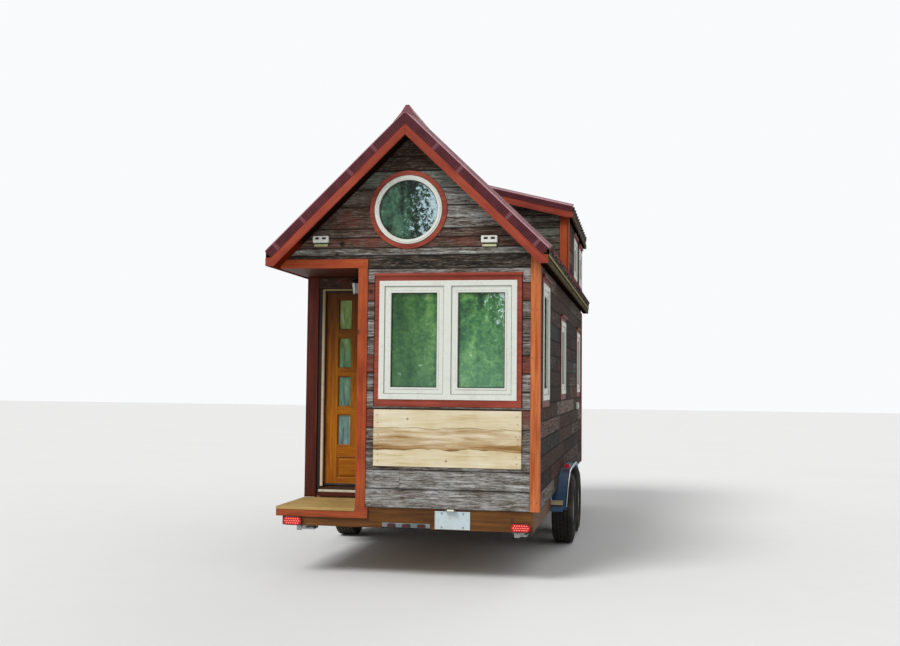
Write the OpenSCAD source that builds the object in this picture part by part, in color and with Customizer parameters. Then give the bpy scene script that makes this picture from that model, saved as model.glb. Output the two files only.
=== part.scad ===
// Tiny house on a tandem trailer, in millimetres at its real size.
// X runs to the right seen from the porch end, Y from the porch end to the hitch, Z up.
// The origin lies on the ground under the middle of the whole outline.

/* [House body] */
// Length of the house from the porch corner boards to the front corner boards
house_len = 6100; // [6000:50:6400]
// Width over the siding
body_w = 2270; // [2250:10:2290]
// Thickness of an outer wall
wall_t = 120; // [100:5:140]
// Thickness of boards such as casings and corner boards
trim_t = 19; // [16:1:22]
// Depth of the recessed porch, to the siding beside the door
porch_depth = 800; // [760:10:860]
// Width of the porch, from the siding of the left wall to the siding of the bay
porch_w = 715; // [700:5:730]

/* [Heights above the ground] */
// Underside of the trailer frame and of the wooden rim boards
frame_z = 425; // [410:5:440]
// Lower edge of the siding
siding_z = 600; // [590:5:620]
// Top of the porch boards
deck_z = 586; // [580:1:588]
// Top of the inside floor
floor_z = 655; // [640:5:670]
// Top of the outer face of the long walls
plate_z = 2713; // [2700:1:2725]
// Underside of the porch beam and ceiling
beam_z = 2672; // [2660:2:2680]

/* [Roof] */
// Pitch of the main roof, in degrees
roof_pitch = 44; // [43:0.5:45]
// Pitch of the dormer roofs, in degrees
dormer_pitch = 14; // [13:0.5:15]
// Gable overhang at the porch end
rake_over = 170; // [150:5:190]
// Gable overhang at the front end
front_over = 130; // [110:5:150]
// Half width of the roof over the eaves, to the edge of the sheets
eave_x = 1248; // [1240:1:1255]
// Spacing of the ribs of the roofing sheets
rib_pitch = 228; // [200:4:260]
// Where the dormers start, from the porch end to their siding
dormer_y = 3400; // [3300:20:3500]

/* [Trailer] */
// Radius of the tyres
tyre_r = 360; // [350:1:365]
// Width of the tyres
tyre_w = 225; // [205:5:235]
// Distance from the middle of the trailer to the outer side of the tyres
tyre_out = 1290; // [1285:1:1295]
// Rear axle, from the porch end
axle_y = 2490; // [2450:10:2550]
// Distance between the two axles
axle_gap = 860; // [840:10:900]
// Length of the drawbar in front of the house
drawbar_len = 1300; // [1200:20:1400]

/* [Hidden] */

$fn = 64;
slack = 1;              // gap between boards that meet without being fused
reach = 5;              // how far a cutting shape runs past the face it cuts
felt_t = 0.5;           // roofing felt between a deck and its sheets, or between a wall and its deck

red = "#b4502f";
barge_red = "#a8483a";
burgundy = "#6b303a";
barn_wood = "#6e6259";
white = "#ecebe6";
rim_brown = "#7a5534";
deck_tan = "#b08a5e";
pine = "#d9bc8a";
honey = "#b9752b";
steel_black = "#2a2c2e";
zinc = "#b4b8ba";

// Body planes
wall_x = body_w / 2;
wall_in = wall_x - wall_t;
trim_x = wall_x + trim_t;
side_y0 = trim_t;                          // siding of the porch end
side_y1 = house_len - trim_t;              // siding of the front end
bay_x = -wall_x + porch_w;                 // siding of the bay beside the porch
entry_y = porch_depth;                     // siding beside the door
entry_in = entry_y + wall_t;

// The origin is under the middle of the outline, gable overhang to coupler nose
nose_y = house_len + drawbar_len;
flash_t = 4;
y_shift = -(nose_y - rake_over - flash_t) / 2;

// Heights of the roof planes where they would meet over the middle
deck_apex = plate_z + wall_x * tan(roof_pitch) + 90;
under_apex = deck_apex - 90;
wall_apex = under_apex - felt_t;           // tops of the walls under the main roof
pan_apex = deck_apex + 112;
rib_apex = deck_apex + 146;
face_apex = deck_apex + 107;               // fold at the top of the rake metal's face
band_apex = deck_apex + 153;               // far edge of the rake metal's slanted band
dormer_deck_apex = deck_apex + 67;
dormer_under_apex = dormer_deck_apex - 54;
dormer_wall_apex = dormer_under_apex - felt_t;
dormer_pan_apex = dormer_deck_apex + 76;
dormer_rib_apex = dormer_deck_apex + 97;
dormer_face_apex = dormer_deck_apex + 71;
dormer_band_apex = dormer_deck_apex + 107;
barge_h = 96;                              // upright depth of a barge board
dormer_barge_h = 76;

function main_z(x, apex) = apex - abs(x) * tan(roof_pitch);
function dormer_z(x, apex) = apex - abs(x) * tan(dormer_pitch);

board_x = eave_x - 32;                     // inner face of the eave fascia
fascia_x = eave_x - 13;                    // outer face of the eave fascia
soffit_z = plate_z - 33;                    // level cut under the eaves and the barge tails
fascia_z1 = soffit_z + 48;
tail_x = eave_x - 60;                      // a barge tail is level on top from here outwards
dormer_eave_x = 1209;
dormer_fascia_x = 1205;
dormer_soffit_z = dormer_z(wall_x, dormer_deck_apex - dormer_barge_h);
barge_t = 22;
roof_y0 = -rake_over + barge_t;            // behind the barge board
roof_y1 = house_len + front_over - barge_t;
dormer_over = 105;
dormer_face_y = dormer_y - dormer_over;

// Bent metal on the rakes and the ridge
band_w = 89;                               // from the face back to the far edge of the band
sheet_back = 29;                           // from the face back to the first edge of the sheets
rake_y = -rake_over - flash_t;
front_rake_y = roof_y1 + barge_t + flash_t;
ridge_cut_z = deck_apex + 83;              // level cut of the rake metal under the ridge cap
cap_top = [15, deck_apex + 182];           // half width and height of the cap's flat top
cap_shoulder = [54, deck_apex + 119];
cap_wing_x = 125;
plate_x = [26, 74];                        // half widths of the closing plate, in front and behind
valley_apex = deck_apex + 160;             // what hangs over the main roof stays above this plane
past_cap_x = 64;
drip_t = 3;
drip_z0 = fascia_z1 + 8;

// Windows: [first edge, last edge, sill height, head height]
rear_win = [-246, 958, 1530, 2556];
right_wins = [[280, 880, 1530, 2560], [2340, 2920, 1570, 2350], [4960, 5540, 1570, 2350]];
left_wins = [[2340, 2920, 1570, 2350], [4960, 5540, 1570, 2350]];
dormer_wins = [[4300, 4900, 3010, 3500], [5340, 5940, 3010, 3500]];
front_win = [-300, 300, 1570, 2350];
frame_w = 46;
sash_w = 58;
mullion_w = 66;
sash_step = 12;
frame_proud = 26;                          // window frame in front of the siding
frame_deep = 70;                           // window frame behind the siding
pane_t = 18;
casing_w = 40;
casing_sill = 60;
casing_head = 44;
header_z1 = plate_z + 38;                  // top of the board over the porch opening
round_z = 3178;
round_r = 300;
round_glass_r = 262;
round_casing_r = 343;

// Door
leaf_x0 = -975;
leaf_x1 = -445;
leaf_z0 = 697;
leaf_z1 = 2530;
leaf_t = 44;
leaf_gap = 5;
leaf_y = entry_y + 12;
hinge_r = 6;
hinge_x = leaf_x0 - 3;
hinge_y = leaf_y + leaf_t + hinge_r;
lite_w = 128;
lite_h = 288;
lite_pitch = 365;
lite_z = 1077;
stile_w = 126;
rail_z = [766, 972];

// Trailer
rail_x = 1000;
rail_w = 70;
rail_h = 120;
rail_z1 = frame_z + rail_h;
member_count = 10;
member_w = 60;
arm_spread = 620;
arm_w = 50;
arm_h = 100;
coupler_z = 440;
ball_r = 30;
jack_y = house_len + 780;
mid_axle_y = axle_y + axle_gap / 2;
spindle_r = 22;
rim_r = 190;
arm_plate = 34;

// Wheel fender: a flat crown that rolls down at both ends
fender_in = wall_in + 3;
fender_out = 1250;
fender_top = 785;
fender_flat = 300;
fender_bend_r = 1150;
fender_bend = 45;
fender_t = 5;
fender_y0 = mid_axle_y - fender_flat - fender_bend_r * sin(fender_bend);
fender_y1 = mid_axle_y + fender_flat + fender_bend_r * sin(fender_bend);
fender_z0 = fender_top - fender_bend_r * (1 - cos(fender_bend));
well_gap = 4;
floor_side_x = wall_x - 73;                // side of the floor, behind the rim boards

// Helpers

module placed() translate([0, y_shift, 0]) children();

module slab(x0, x1, y0, y1, z0, z1) translate([x0, y0, z0]) cube([x1 - x0, y1 - y0, z1 - z0]);

// A drawing in X and Z, made solid from y0 to y1
module along_y(y0, y1) translate([0, y1, 0]) rotate([90, 0, 0]) linear_extrude(y1 - y0) children();

// A drawing in Y and Z, made solid from x0 to x1
module along_x(x0, x1) translate([x0, 0, 0]) rotate([90, 0, 90]) linear_extrude(x1 - x0) children();

module both_sides() {
    children();
    mirror([1, 0, 0]) children();
}

// A flat shape with half-round ends, for lamps
module lozenge(w, h) {
    square([w - h, h], center = true);
    translate([-(w - h) / 2, 0]) circle(d = h);
    translate([(w - h) / 2, 0]) circle(d = h);
}

// One side of the main roof between two heights over the middle, as a drawing in X and Z
module main_band(x0, x1, low, high)
    polygon([[x0, main_z(x0, low)], [x1, main_z(x1, low)], [x1, main_z(x1, high)], [x0, main_z(x0, high)]]);

module dormer_band(x0, x1, low, high)
    polygon([[x0, dormer_z(x0, low)], [x1, dormer_z(x1, low)],
             [x1, dormer_z(x1, high)], [x0, dormer_z(x0, high)]]);

// Where a roof plane comes down to a level cut
function main_x(z, apex) = (apex - z) / tan(roof_pitch);
function dormer_x(z, apex) = (apex - z) / tan(dormer_pitch);

// Moves a wall drawn as seen from outside, left to right along X, to the wall it belongs to
module on_right() translate([wall_x, 0, 0]) rotate([0, 0, 90]) children();
module on_left() translate([-wall_x, 0, 0]) mirror([1, 0, 0]) rotate([0, 0, 90]) children();
module on_rear() translate([0, side_y0, 0]) children();
module on_front() translate([0, side_y1, 0]) mirror([0, 1, 0]) children();

// Trailer

module c_section(h, w, t) {
    difference() {
        square([w, h]);
        translate([t, t]) square([w - t + reach, h - 2 * t]);
    }
}

module chassis_frame() color(steel_black) placed() {
    // long rails, channels with their backs outward
    both_sides()
        along_y(side_y0 + 45, side_y1)
            translate([rail_x, frame_z])
                mirror([1, 0])
                    c_section(rail_h, rail_w, 6);
    // cross members between the rails
    first = side_y0 + 45;
    step = (side_y1 - first - member_w) / (member_count - 1);
    for (i = [0:member_count - 1])
        translate([-rail_x + rail_w + slack, first + i * step, frame_z + 30])
            rotate([90, 0, 90])
                linear_extrude(2 * (rail_x - rail_w - slack))
                    c_section(rail_h - 30, member_w, 5);
    // drawbar arms that close to the coupler
    both_sides()
        translate([0, 0, frame_z + 5])
            linear_extrude(arm_h)
                polygon([[arm_spread, side_y1 + slack], [arm_spread - arm_w, side_y1 + slack],
                         [22, nose_y - 170], [22 + arm_w, nose_y - 170]]);
}

module coupler() color(zinc) placed() {
    ball_y = nose_y - 48;
    difference() {
        union() {
            // socket with a domed top
            translate([0, ball_y, coupler_z]) cylinder(r = 48, h = 50);
            translate([0, ball_y, coupler_z + 50]) scale([1, 1, 0.6]) sphere(r = 48);
            // tapered neck
            translate([0, 0, coupler_z + 8])
                linear_extrude(62)
                    polygon([[-32, ball_y], [-48, ball_y - 60], [-78, nose_y - 169],
                             [78, nose_y - 169], [48, ball_y - 60], [32, ball_y]]);
            // latch lever on the neck
            slab(-9, 9, ball_y - 110, ball_y - 30, coupler_z + 68, coupler_z + 92);
            translate([-14, ball_y - 105, coupler_z + 92])
                rotate([0, 90, 0])
                    cylinder(r = 11, h = 28);
        }
        translate([0, ball_y, coupler_z - reach]) cylinder(r = ball_r, h = 30 + reach);
        translate([0, ball_y, coupler_z + 30]) sphere(r = ball_r);
    }
}

module tongue_jack() color(zinc) placed() translate([0, jack_y, 0]) {
    // flat foot on the ground
    translate([-80, -80, 0]) cube([160, 160, 10]);
    translate([0, 0, 10]) cylinder(r = 30, h = 12);
    // ram and outer tube
    cylinder(r = 22, h = 300);
    translate([0, 0, 180]) cylinder(r = 30, h = 640);
    translate([0, 0, 820]) cylinder(r = 36, h = 70);
    // plate that lies on both drawbar arms
    translate([-260, -60, frame_z + 5 + arm_h]) cube([520, 120, 10]);
    // crank
    translate([0, 0, 855]) rotate([0, 90, 0]) cylinder(r = 8, h = 110);
    translate([95, -8, 855]) cube([16, 16, 60]);
    translate([103, 0, 910]) rotate([0, 90, 0]) cylinder(r = 12, h = 90);
}

// A corner steady, folded up under a rail
module folded_steady() {
    slab(rail_x - 85, rail_x + 5, 0, 560, frame_z - 16, frame_z);
    along_x(rail_x - 75, rail_x - 5)
        polygon([[20, frame_z - 18], [540, frame_z - 18], [500, frame_z - 44], [330, frame_z - 62],
                 [230, frame_z - 62], [60, frame_z - 44]]);
    slab(rail_x - 95, rail_x + 15, 215, 345, frame_z - 76, frame_z - 60);
    translate([rail_x - 40, 0, frame_z - 32])
        rotate([90, 0, 0])
            cylinder(r = 9, h = 60, center = true);
    slab(rail_x - 62, rail_x - 18, -36, -22, frame_z - 50, frame_z - 14);
}

module stabilizer_jacks() color(zinc) placed() both_sides() {
    translate([0, 100, 0]) folded_steady();
    translate([0, house_len - 100, 0]) mirror([0, 1, 0]) folded_steady();
}

// Torsion axle: square tube, trailing arms and spindles
module axle_unit() {
    tube = 70;
    tube_y = 150;
    tube_z = frame_z - tube / 2 - 1;
    slab(-rail_x + 45, rail_x - 45, tube_y - tube / 2, tube_y + tube / 2, frame_z - tube, frame_z);
    both_sides() {
        // arm from the tube to the spindle
        hull() {
            translate([rail_x - 46, tube_y, tube_z])
                rotate([0, 90, 0])
                    cylinder(r = 34, h = arm_plate, $fn = 32);
            translate([rail_x - 46, 0, tyre_r])
                rotate([0, 90, 0])
                    cylinder(r = 30, h = arm_plate, $fn = 32);
        }
        translate([rail_x - 46, 0, tyre_r])
            rotate([0, 90, 0])
                cylinder(r = spindle_r, h = tyre_out - tyre_w / 2 - rail_x + 71);
    }
}

module axles() color(steel_black) placed() {
    translate([0, axle_y, 0]) axle_unit();
    translate([0, axle_y + axle_gap, 0]) axle_unit();
}

// Half of the fender's outer line from the middle of the crown to the end
function fender_line(grow) = [
    for (a = [0:5:fender_bend])
        [fender_flat + (fender_bend_r + grow) * sin(a),
         fender_top - fender_bend_r + (fender_bend_r + grow) * cos(a)]];

// The drawing of the fender in Y and Z, closed at its lower ends
module fender_outline(grow, z_low) {
    line = fender_line(grow);
    last = len(line) - 1;
    end_y = line[last][0] + grow;
    translate([mid_axle_y, 0])
        polygon(concat([[-end_y, z_low]], [for (i = [last:-1:0]) [-line[i][0], line[i][1]]],
                       line, [[end_y, z_low]]));
}

module fender() {
    difference() {
        along_x(fender_in, fender_out) fender_outline(0, fender_z0 - 30);
        along_x(fender_in + 12, fender_out - 14) fender_outline(-fender_t, 0);
        along_x(fender_out - 20, fender_out + reach) fender_outline(-30, 0);
    }
    // rolled bead along the outer edge
    along_x(fender_out - 8, fender_out + 4)
        difference() {
            fender_outline(4, fender_z0 - 30);
            fender_outline(-6, fender_z0 - 40);
        }
    // flat step at the rear end
    slab(1085, 1222, fender_y0 - 78, fender_y0 - 1, fender_z0 - 8, fender_z0 + 6);
    slab(1085, 1222, fender_y0 - 84, fender_y0 - 78, fender_z0 - 40, fender_z0 + 6);
}

module fender_left() color("#5d6c7c") placed() mirror([1, 0, 0]) fender();
module fender_right() color("#5d6c7c") placed() fender();

// Tyre with bulging sides, round shoulders and four grooves round the tread
module tyre_shape() {
    half = tyre_w / 2;
    groove_w = 9;
    groove_d = 8;
    grooves = [for (h = [-57, -19, 19, 57])
        each [[tyre_r, h - groove_w / 2], [tyre_r - groove_d, h - groove_w / 2 + 1],
              [tyre_r - groove_d, h + groove_w / 2 - 1], [tyre_r, h + groove_w / 2]]];
    side = [for (a = [0:15:60])
        [tyre_r - 26 + 26 * cos(a), half - 26 + 22 * sin(a)]];
    upper = concat(side, [[300, half - 2], [265, half], [228, half - 3], [rim_r + 6, half - 14],
                          [rim_r, half - 20]]);
    lower = [for (i = [len(upper) - 1:-1:0]) [upper[i][0], -upper[i][1]]];
    rotate([0, 90, 0])
        rotate_extrude($fn = 96)
            polygon(concat(lower, grooves, upper));
}

// Pressed steel wheel: rim well, dished disc, hub and wheel nuts
module rim_shape() {
    half = tyre_w / 2 - 21;
    rotate([0, 90, 0]) {
        difference() {
            union() {
                rotate_extrude($fn = 96)
                    polygon([[rim_r - 9, -half], [rim_r, -half], [rim_r, half], [rim_r - 9, half],
                             [rim_r - 9, 52], [rim_r - 30, 44], [150, 22], [128, 30], [92, 38],
                             [70, 30], [46, 30], [46, 62], [34, 74], [0, 74], [0, -40], [60, -40],
                             [60, 14], [92, 28], [128, 20], [150, 12], [rim_r - 16, 26],
                             [rim_r - 9, 26]]);
                for (i = [0:5])
                    rotate([0, 0, i * 60]) translate([76, 0, 30]) cylinder(r = 11, h = 22, $fn = 6);
            }
            translate([0, 0, -40 - reach]) cylinder(r = spindle_r + 2, h = 80 + reach);
            for (i = [0:7])
                rotate([0, 0, i * 45 + 22.5])
                    translate([142, 0, 0])
                        cylinder(r = 15, h = 60, $fn = 6);
        }
    }
}

module wheel_place(side, y)
    placed()
        translate([0, y, 0])
            mirror([side < 0 ? 1 : 0, 0, 0])
                translate([tyre_out - tyre_w / 2, 0, tyre_r])
                    children();

module tyre_rear_left() color("#1d1d1e") wheel_place(-1, axle_y) tyre_shape();
module tyre_rear_right() color("#1d1d1e") wheel_place(1, axle_y) tyre_shape();
module tyre_front_left() color("#1d1d1e") wheel_place(-1, axle_y + axle_gap) tyre_shape();
module tyre_front_right() color("#1d1d1e") wheel_place(1, axle_y + axle_gap) tyre_shape();
module rim_rear_left() color(zinc) wheel_place(-1, axle_y) rim_shape();
module rim_rear_right() color(zinc) wheel_place(1, axle_y) rim_shape();
module rim_front_left() color(zinc) wheel_place(-1, axle_y + axle_gap) rim_shape();
module rim_front_right() color(zinc) wheel_place(1, axle_y + axle_gap) rim_shape();

// Floor, rim boards and porch

rim_y0 = side_y0 + 1;
rim_y1 = rim_y0 + 38;
deck_board_t = 25;

module rim_boards() color(rim_brown) placed() {
    // porch end, lower under the porch boards
    along_y(rim_y0, rim_y1)
        polygon([[-1100, frame_z], [1100, frame_z], [1100, siding_z], [bay_x, siding_z],
                 [bay_x, deck_z - deck_board_t], [-1100, deck_z - deck_board_t]]);
    // long sides, stopping at the fenders
    for (run = [[rim_y1 + slack, fender_y0 - 90], [fender_y1 + 10, side_y1]]) {
        slab(floor_side_x + slack, 1100, run[0], run[1], frame_z, siding_z);
        top = run[0] < entry_y ? deck_z - deck_board_t : siding_z;
        slab(-1100, -floor_side_x - slack, run[0], run[1], frame_z, top);
    }
}

module floor_drawing(edge) {
    difference() {
        translate([-edge, rim_y1 + slack]) square([2 * edge, side_y1 - rim_y1 - slack]);
        // wheel wells
        both_sides()
            translate([fender_in - slack, fender_y0 - 20])
                square([200, fender_y1 - fender_y0 + 40]);
    }
}

module floor() color(rim_brown) placed() {
    porch_top = deck_z - deck_board_t;
    translate([0, 0, rail_z1]) linear_extrude(porch_top - rail_z1) floor_drawing(floor_side_x);
    translate([0, 0, porch_top])
        linear_extrude(siding_z - porch_top)
            difference() {
                floor_drawing(floor_side_x);
                translate([-wall_x - reach, 0]) square([porch_w + reach, entry_y]);
            }
    translate([0, 0, siding_z])
        linear_extrude(floor_z - siding_z)
            difference() {
                translate([-wall_in + slack, side_y0 + wall_t + slack])
                    square([2 * (wall_in - slack), side_y1 - side_y0 - 2 * (wall_t + slack)]);
                translate([-wall_x, 0]) square([porch_w + wall_t + slack, entry_in + slack]);
            }
}

module porch_deck() color(deck_tan) placed() {
    boards = 6;
    pitch = (entry_y - trim_t + 6) / boards;
    for (i = [0:boards - 1])
        slab(-trim_x, bay_x - trim_t - slack, -6 + i * pitch, -6 + (i + 1) * pitch - 4,
             deck_z - deck_board_t, deck_z);
}

module porch_fascia() color(red) placed() {
    top = deck_z - deck_board_t - slack;
    low = 503;
    end_x = -330;
    post_w = 109;
    face_y = rim_y0 - 1 - trim_t;
    slab(-trim_x, end_x, face_y, rim_y0 - 1, low, top);
    slab(end_x - post_w, end_x, face_y, rim_y0 - 1, top, siding_z - slack);
    slab(-trim_x, -wall_x, rim_y0, entry_y + trim_side, low, top);
}

// Walls

module wall_hole(win) slab(win[0], win[1], -reach, wall_t + reach, win[2], win[3]);

module rear_wall() color(barn_wood) placed() on_rear()
    difference() {
        slab(bay_x, wall_in, 0, wall_t, siding_z, plate_z);
        wall_hole(rear_win);
    }

// It closes the gable over the porch too, where no long wall stands beside it
module rear_gable() color(barn_wood) placed()
    along_y(side_y0, side_y0 + wall_t)
        difference() {
            polygon([[-main_x(plate_z, wall_apex), plate_z], [wall_in, plate_z],
                     [wall_in, main_z(wall_in, wall_apex)], [0, wall_apex]]);
            translate([0, round_z]) circle(r = round_r, $fn = 96);
        }

module porch_side_wall() color(barn_wood) placed()
    slab(bay_x, bay_x + wall_t, side_y0 + wall_t, entry_in, siding_z, plate_z);

head_z = leaf_z1 + leaf_gap + 26;

module entry_header() color(barn_wood) placed()
    slab(-wall_in, bay_x, entry_y, entry_in, head_z, plate_z);

// A long wall from y0 on, with its top cut to the roof as far as the dormer
module long_wall(y0, wins) {
    difference() {
        union() {
            slab(wall_in, wall_x, y0, side_y1, siding_z, plate_z);
            along_y(y0, dormer_y)
                polygon([[wall_in, plate_z - reach], [wall_x, plate_z - reach], [wall_x, plate_z],
                         [wall_in, main_z(wall_in, wall_apex)]]);
        }
        on_right() for (w = wins) wall_hole(w);
        along_x(wall_in - reach, wall_x + reach) fender_outline(well_gap, 0);
    }
}

module right_wall() color(barn_wood) placed() long_wall(side_y0, right_wins);
module left_wall() color(barn_wood) placed() mirror([1, 0, 0]) long_wall(entry_y, left_wins);

module front_wall() color(barn_wood) placed() on_front()
    difference() {
        slab(-wall_in, wall_in, 0, wall_t, siding_z, plate_z);
        wall_hole(front_win);
    }

module front_gable() color(barn_wood) placed()
    along_y(side_y1 - wall_t, side_y1)
        difference() {
            edge = dormer_z(wall_in, dormer_wall_apex);
            polygon([[-wall_in, plate_z], [wall_in, plate_z], [wall_in, edge],
                     [0, dormer_wall_apex], [-wall_in, edge]]);
            translate([0, round_z]) circle(r = round_r, $fn = 96);
        }

module dormer_walls() color(barn_wood) placed() both_sides()
    difference() {
        along_y(dormer_y, side_y1)
            polygon([[wall_in, plate_z], [wall_x, plate_z], [wall_x, dormer_z(wall_x, dormer_wall_apex)],
                     [wall_in, dormer_z(wall_in, dormer_wall_apex)]]);
        on_right() for (w = dormer_wins) wall_hole(w);
    }

module dormer_cheeks() color(barn_wood) placed() both_sides()
    along_y(dormer_y, dormer_y + wall_t - 20)
        polygon([[slack, main_z(slack, wall_apex)], [wall_in, main_z(wall_in, wall_apex)],
                 [wall_in, dormer_z(wall_in, dormer_wall_apex)],
                 [slack, dormer_z(slack, dormer_wall_apex)]]);

// Roof

// A deck from x_top down to the eave, cut level underneath
module main_deck(x_top)
    polygon([[x_top, main_z(x_top, under_apex)], [main_x(soffit_z, under_apex), soffit_z],
             [board_x, soffit_z], [board_x, main_z(board_x, deck_apex)],
             [x_top, main_z(x_top, deck_apex)]]);

// The full slope behind the dormer and only the eave beside it
module roof_decks() color("#a98a63") placed() both_sides() {
    along_y(roof_y0, dormer_y - slack) main_deck(slack);
    along_y(dormer_y - 2 * slack, roof_y1) main_deck(wall_x + slack);
}

// Ribs across a sheet of the given length, drawn from its first edge
module rib_profile(len_y, base, top, pitch) {
    edge = 72;
    foot = 28;
    crown = 11;
    count = floor((len_y - 2 * edge) / pitch);
    start = (len_y - count * pitch) / 2;
    polygon(concat([[0, felt_t], [0, base]],
        [for (i = [0:count]) let (y = start + i * pitch)
            each [[y - foot, base], [y - crown, top], [y + crown, top], [y + foot, base]]],
        [[len_y, base], [len_y, felt_t]]));
}

// Sheets with ribs that run down the slope; heights are measured square to the roof
module ribbed_slope(angle, apex, x_top, x_eave, y0, y1, base, top) {
    run = (x_eave - x_top) / cos(angle);
    translate([x_top, y0, apex - x_top * tan(angle)])
        rotate([0, angle, 0])
            rotate([90, 0, 90])
                linear_extrude(run)
                    rib_profile(y1 - y0, base, top, rib_pitch);
}

sheet_base = (pan_apex - deck_apex) * cos(roof_pitch);
sheet_top = (rib_apex - deck_apex) * cos(roof_pitch);
sheet_end = eave_x - sheet_base * sin(roof_pitch);
dormer_base = (dormer_pan_apex - dormer_deck_apex) * cos(dormer_pitch);
dormer_top = (dormer_rib_apex - dormer_deck_apex) * cos(dormer_pitch);
dormer_end = dormer_eave_x - dormer_base * sin(dormer_pitch);

module roof_metal() color(burgundy) placed() both_sides() {
    // [distance from the middle, first end, last end]
    runs = [[10, rake_y + sheet_back, dormer_y - slack],
            [wall_x + slack, dormer_y, front_rake_y - flash_t - slack]];
    drip_x = eave_x - 10;
    drip_z1 = main_z(drip_x, pan_apex) - 8;
    for (run = runs) {
        ribbed_slope(roof_pitch, deck_apex, run[0], sheet_end, run[1], run[2], sheet_base, sheet_top);
        // drip edge that hangs from the sheets in front of the fascia
        slab(drip_x, drip_x + drip_t, run[1] + 2, run[2] - 2, drip_z0, drip_z1);
    }
}

// The part of the children that stays above the main roof and beside its ridge cap
module over_main_roof() intersection() {
    children();
    far_x = eave_x + 50;
    wing_x = cap_wing_x + 5;
    top_z = valley_apex + 100;
    along_y(dormer_face_y - reach, dormer_y + reach)
        polygon([[past_cap_x, cap_shoulder[1]], [wing_x, main_z(wing_x, valley_apex)],
                 [far_x, main_z(far_x, valley_apex)], [far_x, top_z], [past_cap_x, top_z]]);
}

module dormer_decks() color("#a98a63") placed() both_sides() {
    end_x = dormer_fascia_x - 19;
    along_y(dormer_y, roof_y1) dormer_band(slack, end_x, dormer_under_apex, dormer_deck_apex);
    over_main_roof()
        along_y(dormer_face_y + barge_t, dormer_y + slack)
            dormer_band(slack, end_x, dormer_under_apex, dormer_deck_apex);
}

module dormer_metal() color(burgundy) placed() both_sides() {
    ribbed_slope(dormer_pitch, dormer_deck_apex, 14, dormer_end, dormer_y,
                 front_rake_y - sheet_back, dormer_base, dormer_top);
    over_main_roof()
        along_y(dormer_face_y - flash_t + sheet_back, dormer_y + slack)
            dormer_band(slack, dormer_eave_x - 8, dormer_deck_apex + felt_t, dormer_pan_apex);
}

// Half of the ridge cap: a flat top, steep sides and wings over the first ribs
function cap_side(low) = [[cap_wing_x, main_z(cap_wing_x, low)],
                          [cap_wing_x, main_z(cap_wing_x, band_apex + 4)], cap_shoulder, cap_top];

function flipped(points) = [for (i = [len(points) - 1:-1:0]) [-points[i][0], points[i][1]]];

module ridge_cap() color(burgundy) placed() {
    cap_y = rake_y + band_w + slack;
    low = rib_apex + 2;
    along_y(cap_y, dormer_y - slack)
        polygon(concat(cap_side(low), flipped(cap_side(low)), [[0, low]]));
    // closed end, and the plate in front of it over the level cut of the rake metal
    plate_z0 = ridge_cut_z + slack;
    along_y(cap_y, cap_y + 6)
        polygon([[plate_x[1], plate_z0], cap_shoulder, cap_top, [-cap_top[0], cap_top[1]],
                 [-cap_shoulder[0], cap_shoulder[1]], [-plate_x[1], plate_z0]]);
    translate([0, 0, plate_z0])
        linear_extrude(5)
            polygon([[-plate_x[0], rake_y + 1], [plate_x[0], rake_y + 1], [plate_x[1], cap_y + 3],
                     [-plate_x[1], cap_y + 3]]);
    dormer_low = dormer_rib_apex + 1;
    dormer_cap = dormer_low + 20;
    wide = 140;
    along_y(dormer_y, front_rake_y - band_w - slack)
        polygon([[0, dormer_cap], [wide, dormer_z(wide, dormer_cap)], [wide, dormer_z(wide, dormer_low)],
                 [0, dormer_low], [-wide, dormer_z(wide, dormer_low)],
                 [-wide, dormer_z(wide, dormer_cap)]]);
}

// Bent metal along a rake: a face, a slanted band back over the sheets, a short leg down to them
// and a closed end at the eave; the heights are those of the face, of the band's edge and of the sheets
module rake_metal(angle, apex, x_end, heights, y_face, inward, z_max) {
    square_h = [for (h = heights) (h - apex) * cos(angle)];
    face = square_h[0];
    band = square_h[1];
    foot = square_h[2] + slack;
    rise = (band - face) / band_w;
    sheet_t = flash_t * sqrt(1 + rise * rise);
    run = x_end / cos(angle);
    before = 200;
    back = sheet_back - slack;
    intersection() {
        slab(slack, eave_x + 50, y_face - before, y_face + before, apex - eave_x * 1.2, z_max);
        translate([0, y_face, apex])
            mirror([0, inward < 0 ? 1 : 0, 0])
                rotate([0, angle, 0]) {
                    translate([-before, 0, 0])
                        rotate([90, 0, 90])
                            linear_extrude(run + before)
                                polygon([[0, felt_t], [0, face], [band_w, band], [band_w, foot],
                                         [band_w - flash_t, foot],
                                         [band_w - flash_t, band - rise * flash_t - sheet_t],
                                         [flash_t, face + rise * flash_t - sheet_t], [flash_t, felt_t]]);
                    translate([run - flash_t, 0, 0])
                        rotate([90, 0, 90])
                            linear_extrude(flash_t)
                                polygon([[0, felt_t], [0, face], [band_w, band], [band_w, foot],
                                         [back, foot], [back, felt_t]]);
                }
    }
}

module rake_flashing() color("#7c3d45") placed() both_sides() {
    far_z = ridge_cut_z + 200;
    main_end = sheet_end - 6;
    rake_metal(roof_pitch, deck_apex, main_end, [face_apex, band_apex, pan_apex], rake_y, 1, ridge_cut_z);
    dormer_heights = [dormer_face_apex, dormer_band_apex, dormer_pan_apex];
    over_main_roof()
        rake_metal(dormer_pitch, dormer_deck_apex, dormer_end - 5, dormer_heights,
                   dormer_face_y - flash_t, 1, far_z);
    rake_metal(dormer_pitch, dormer_deck_apex, dormer_end - 5, dormer_heights, front_rake_y, -1, far_z);
    // front end of the eave beside the dormer
    along_y(front_rake_y - flash_t, front_rake_y)
        main_band(wall_x + slack, fascia_x, deck_apex + slack, pan_apex);
}

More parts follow.
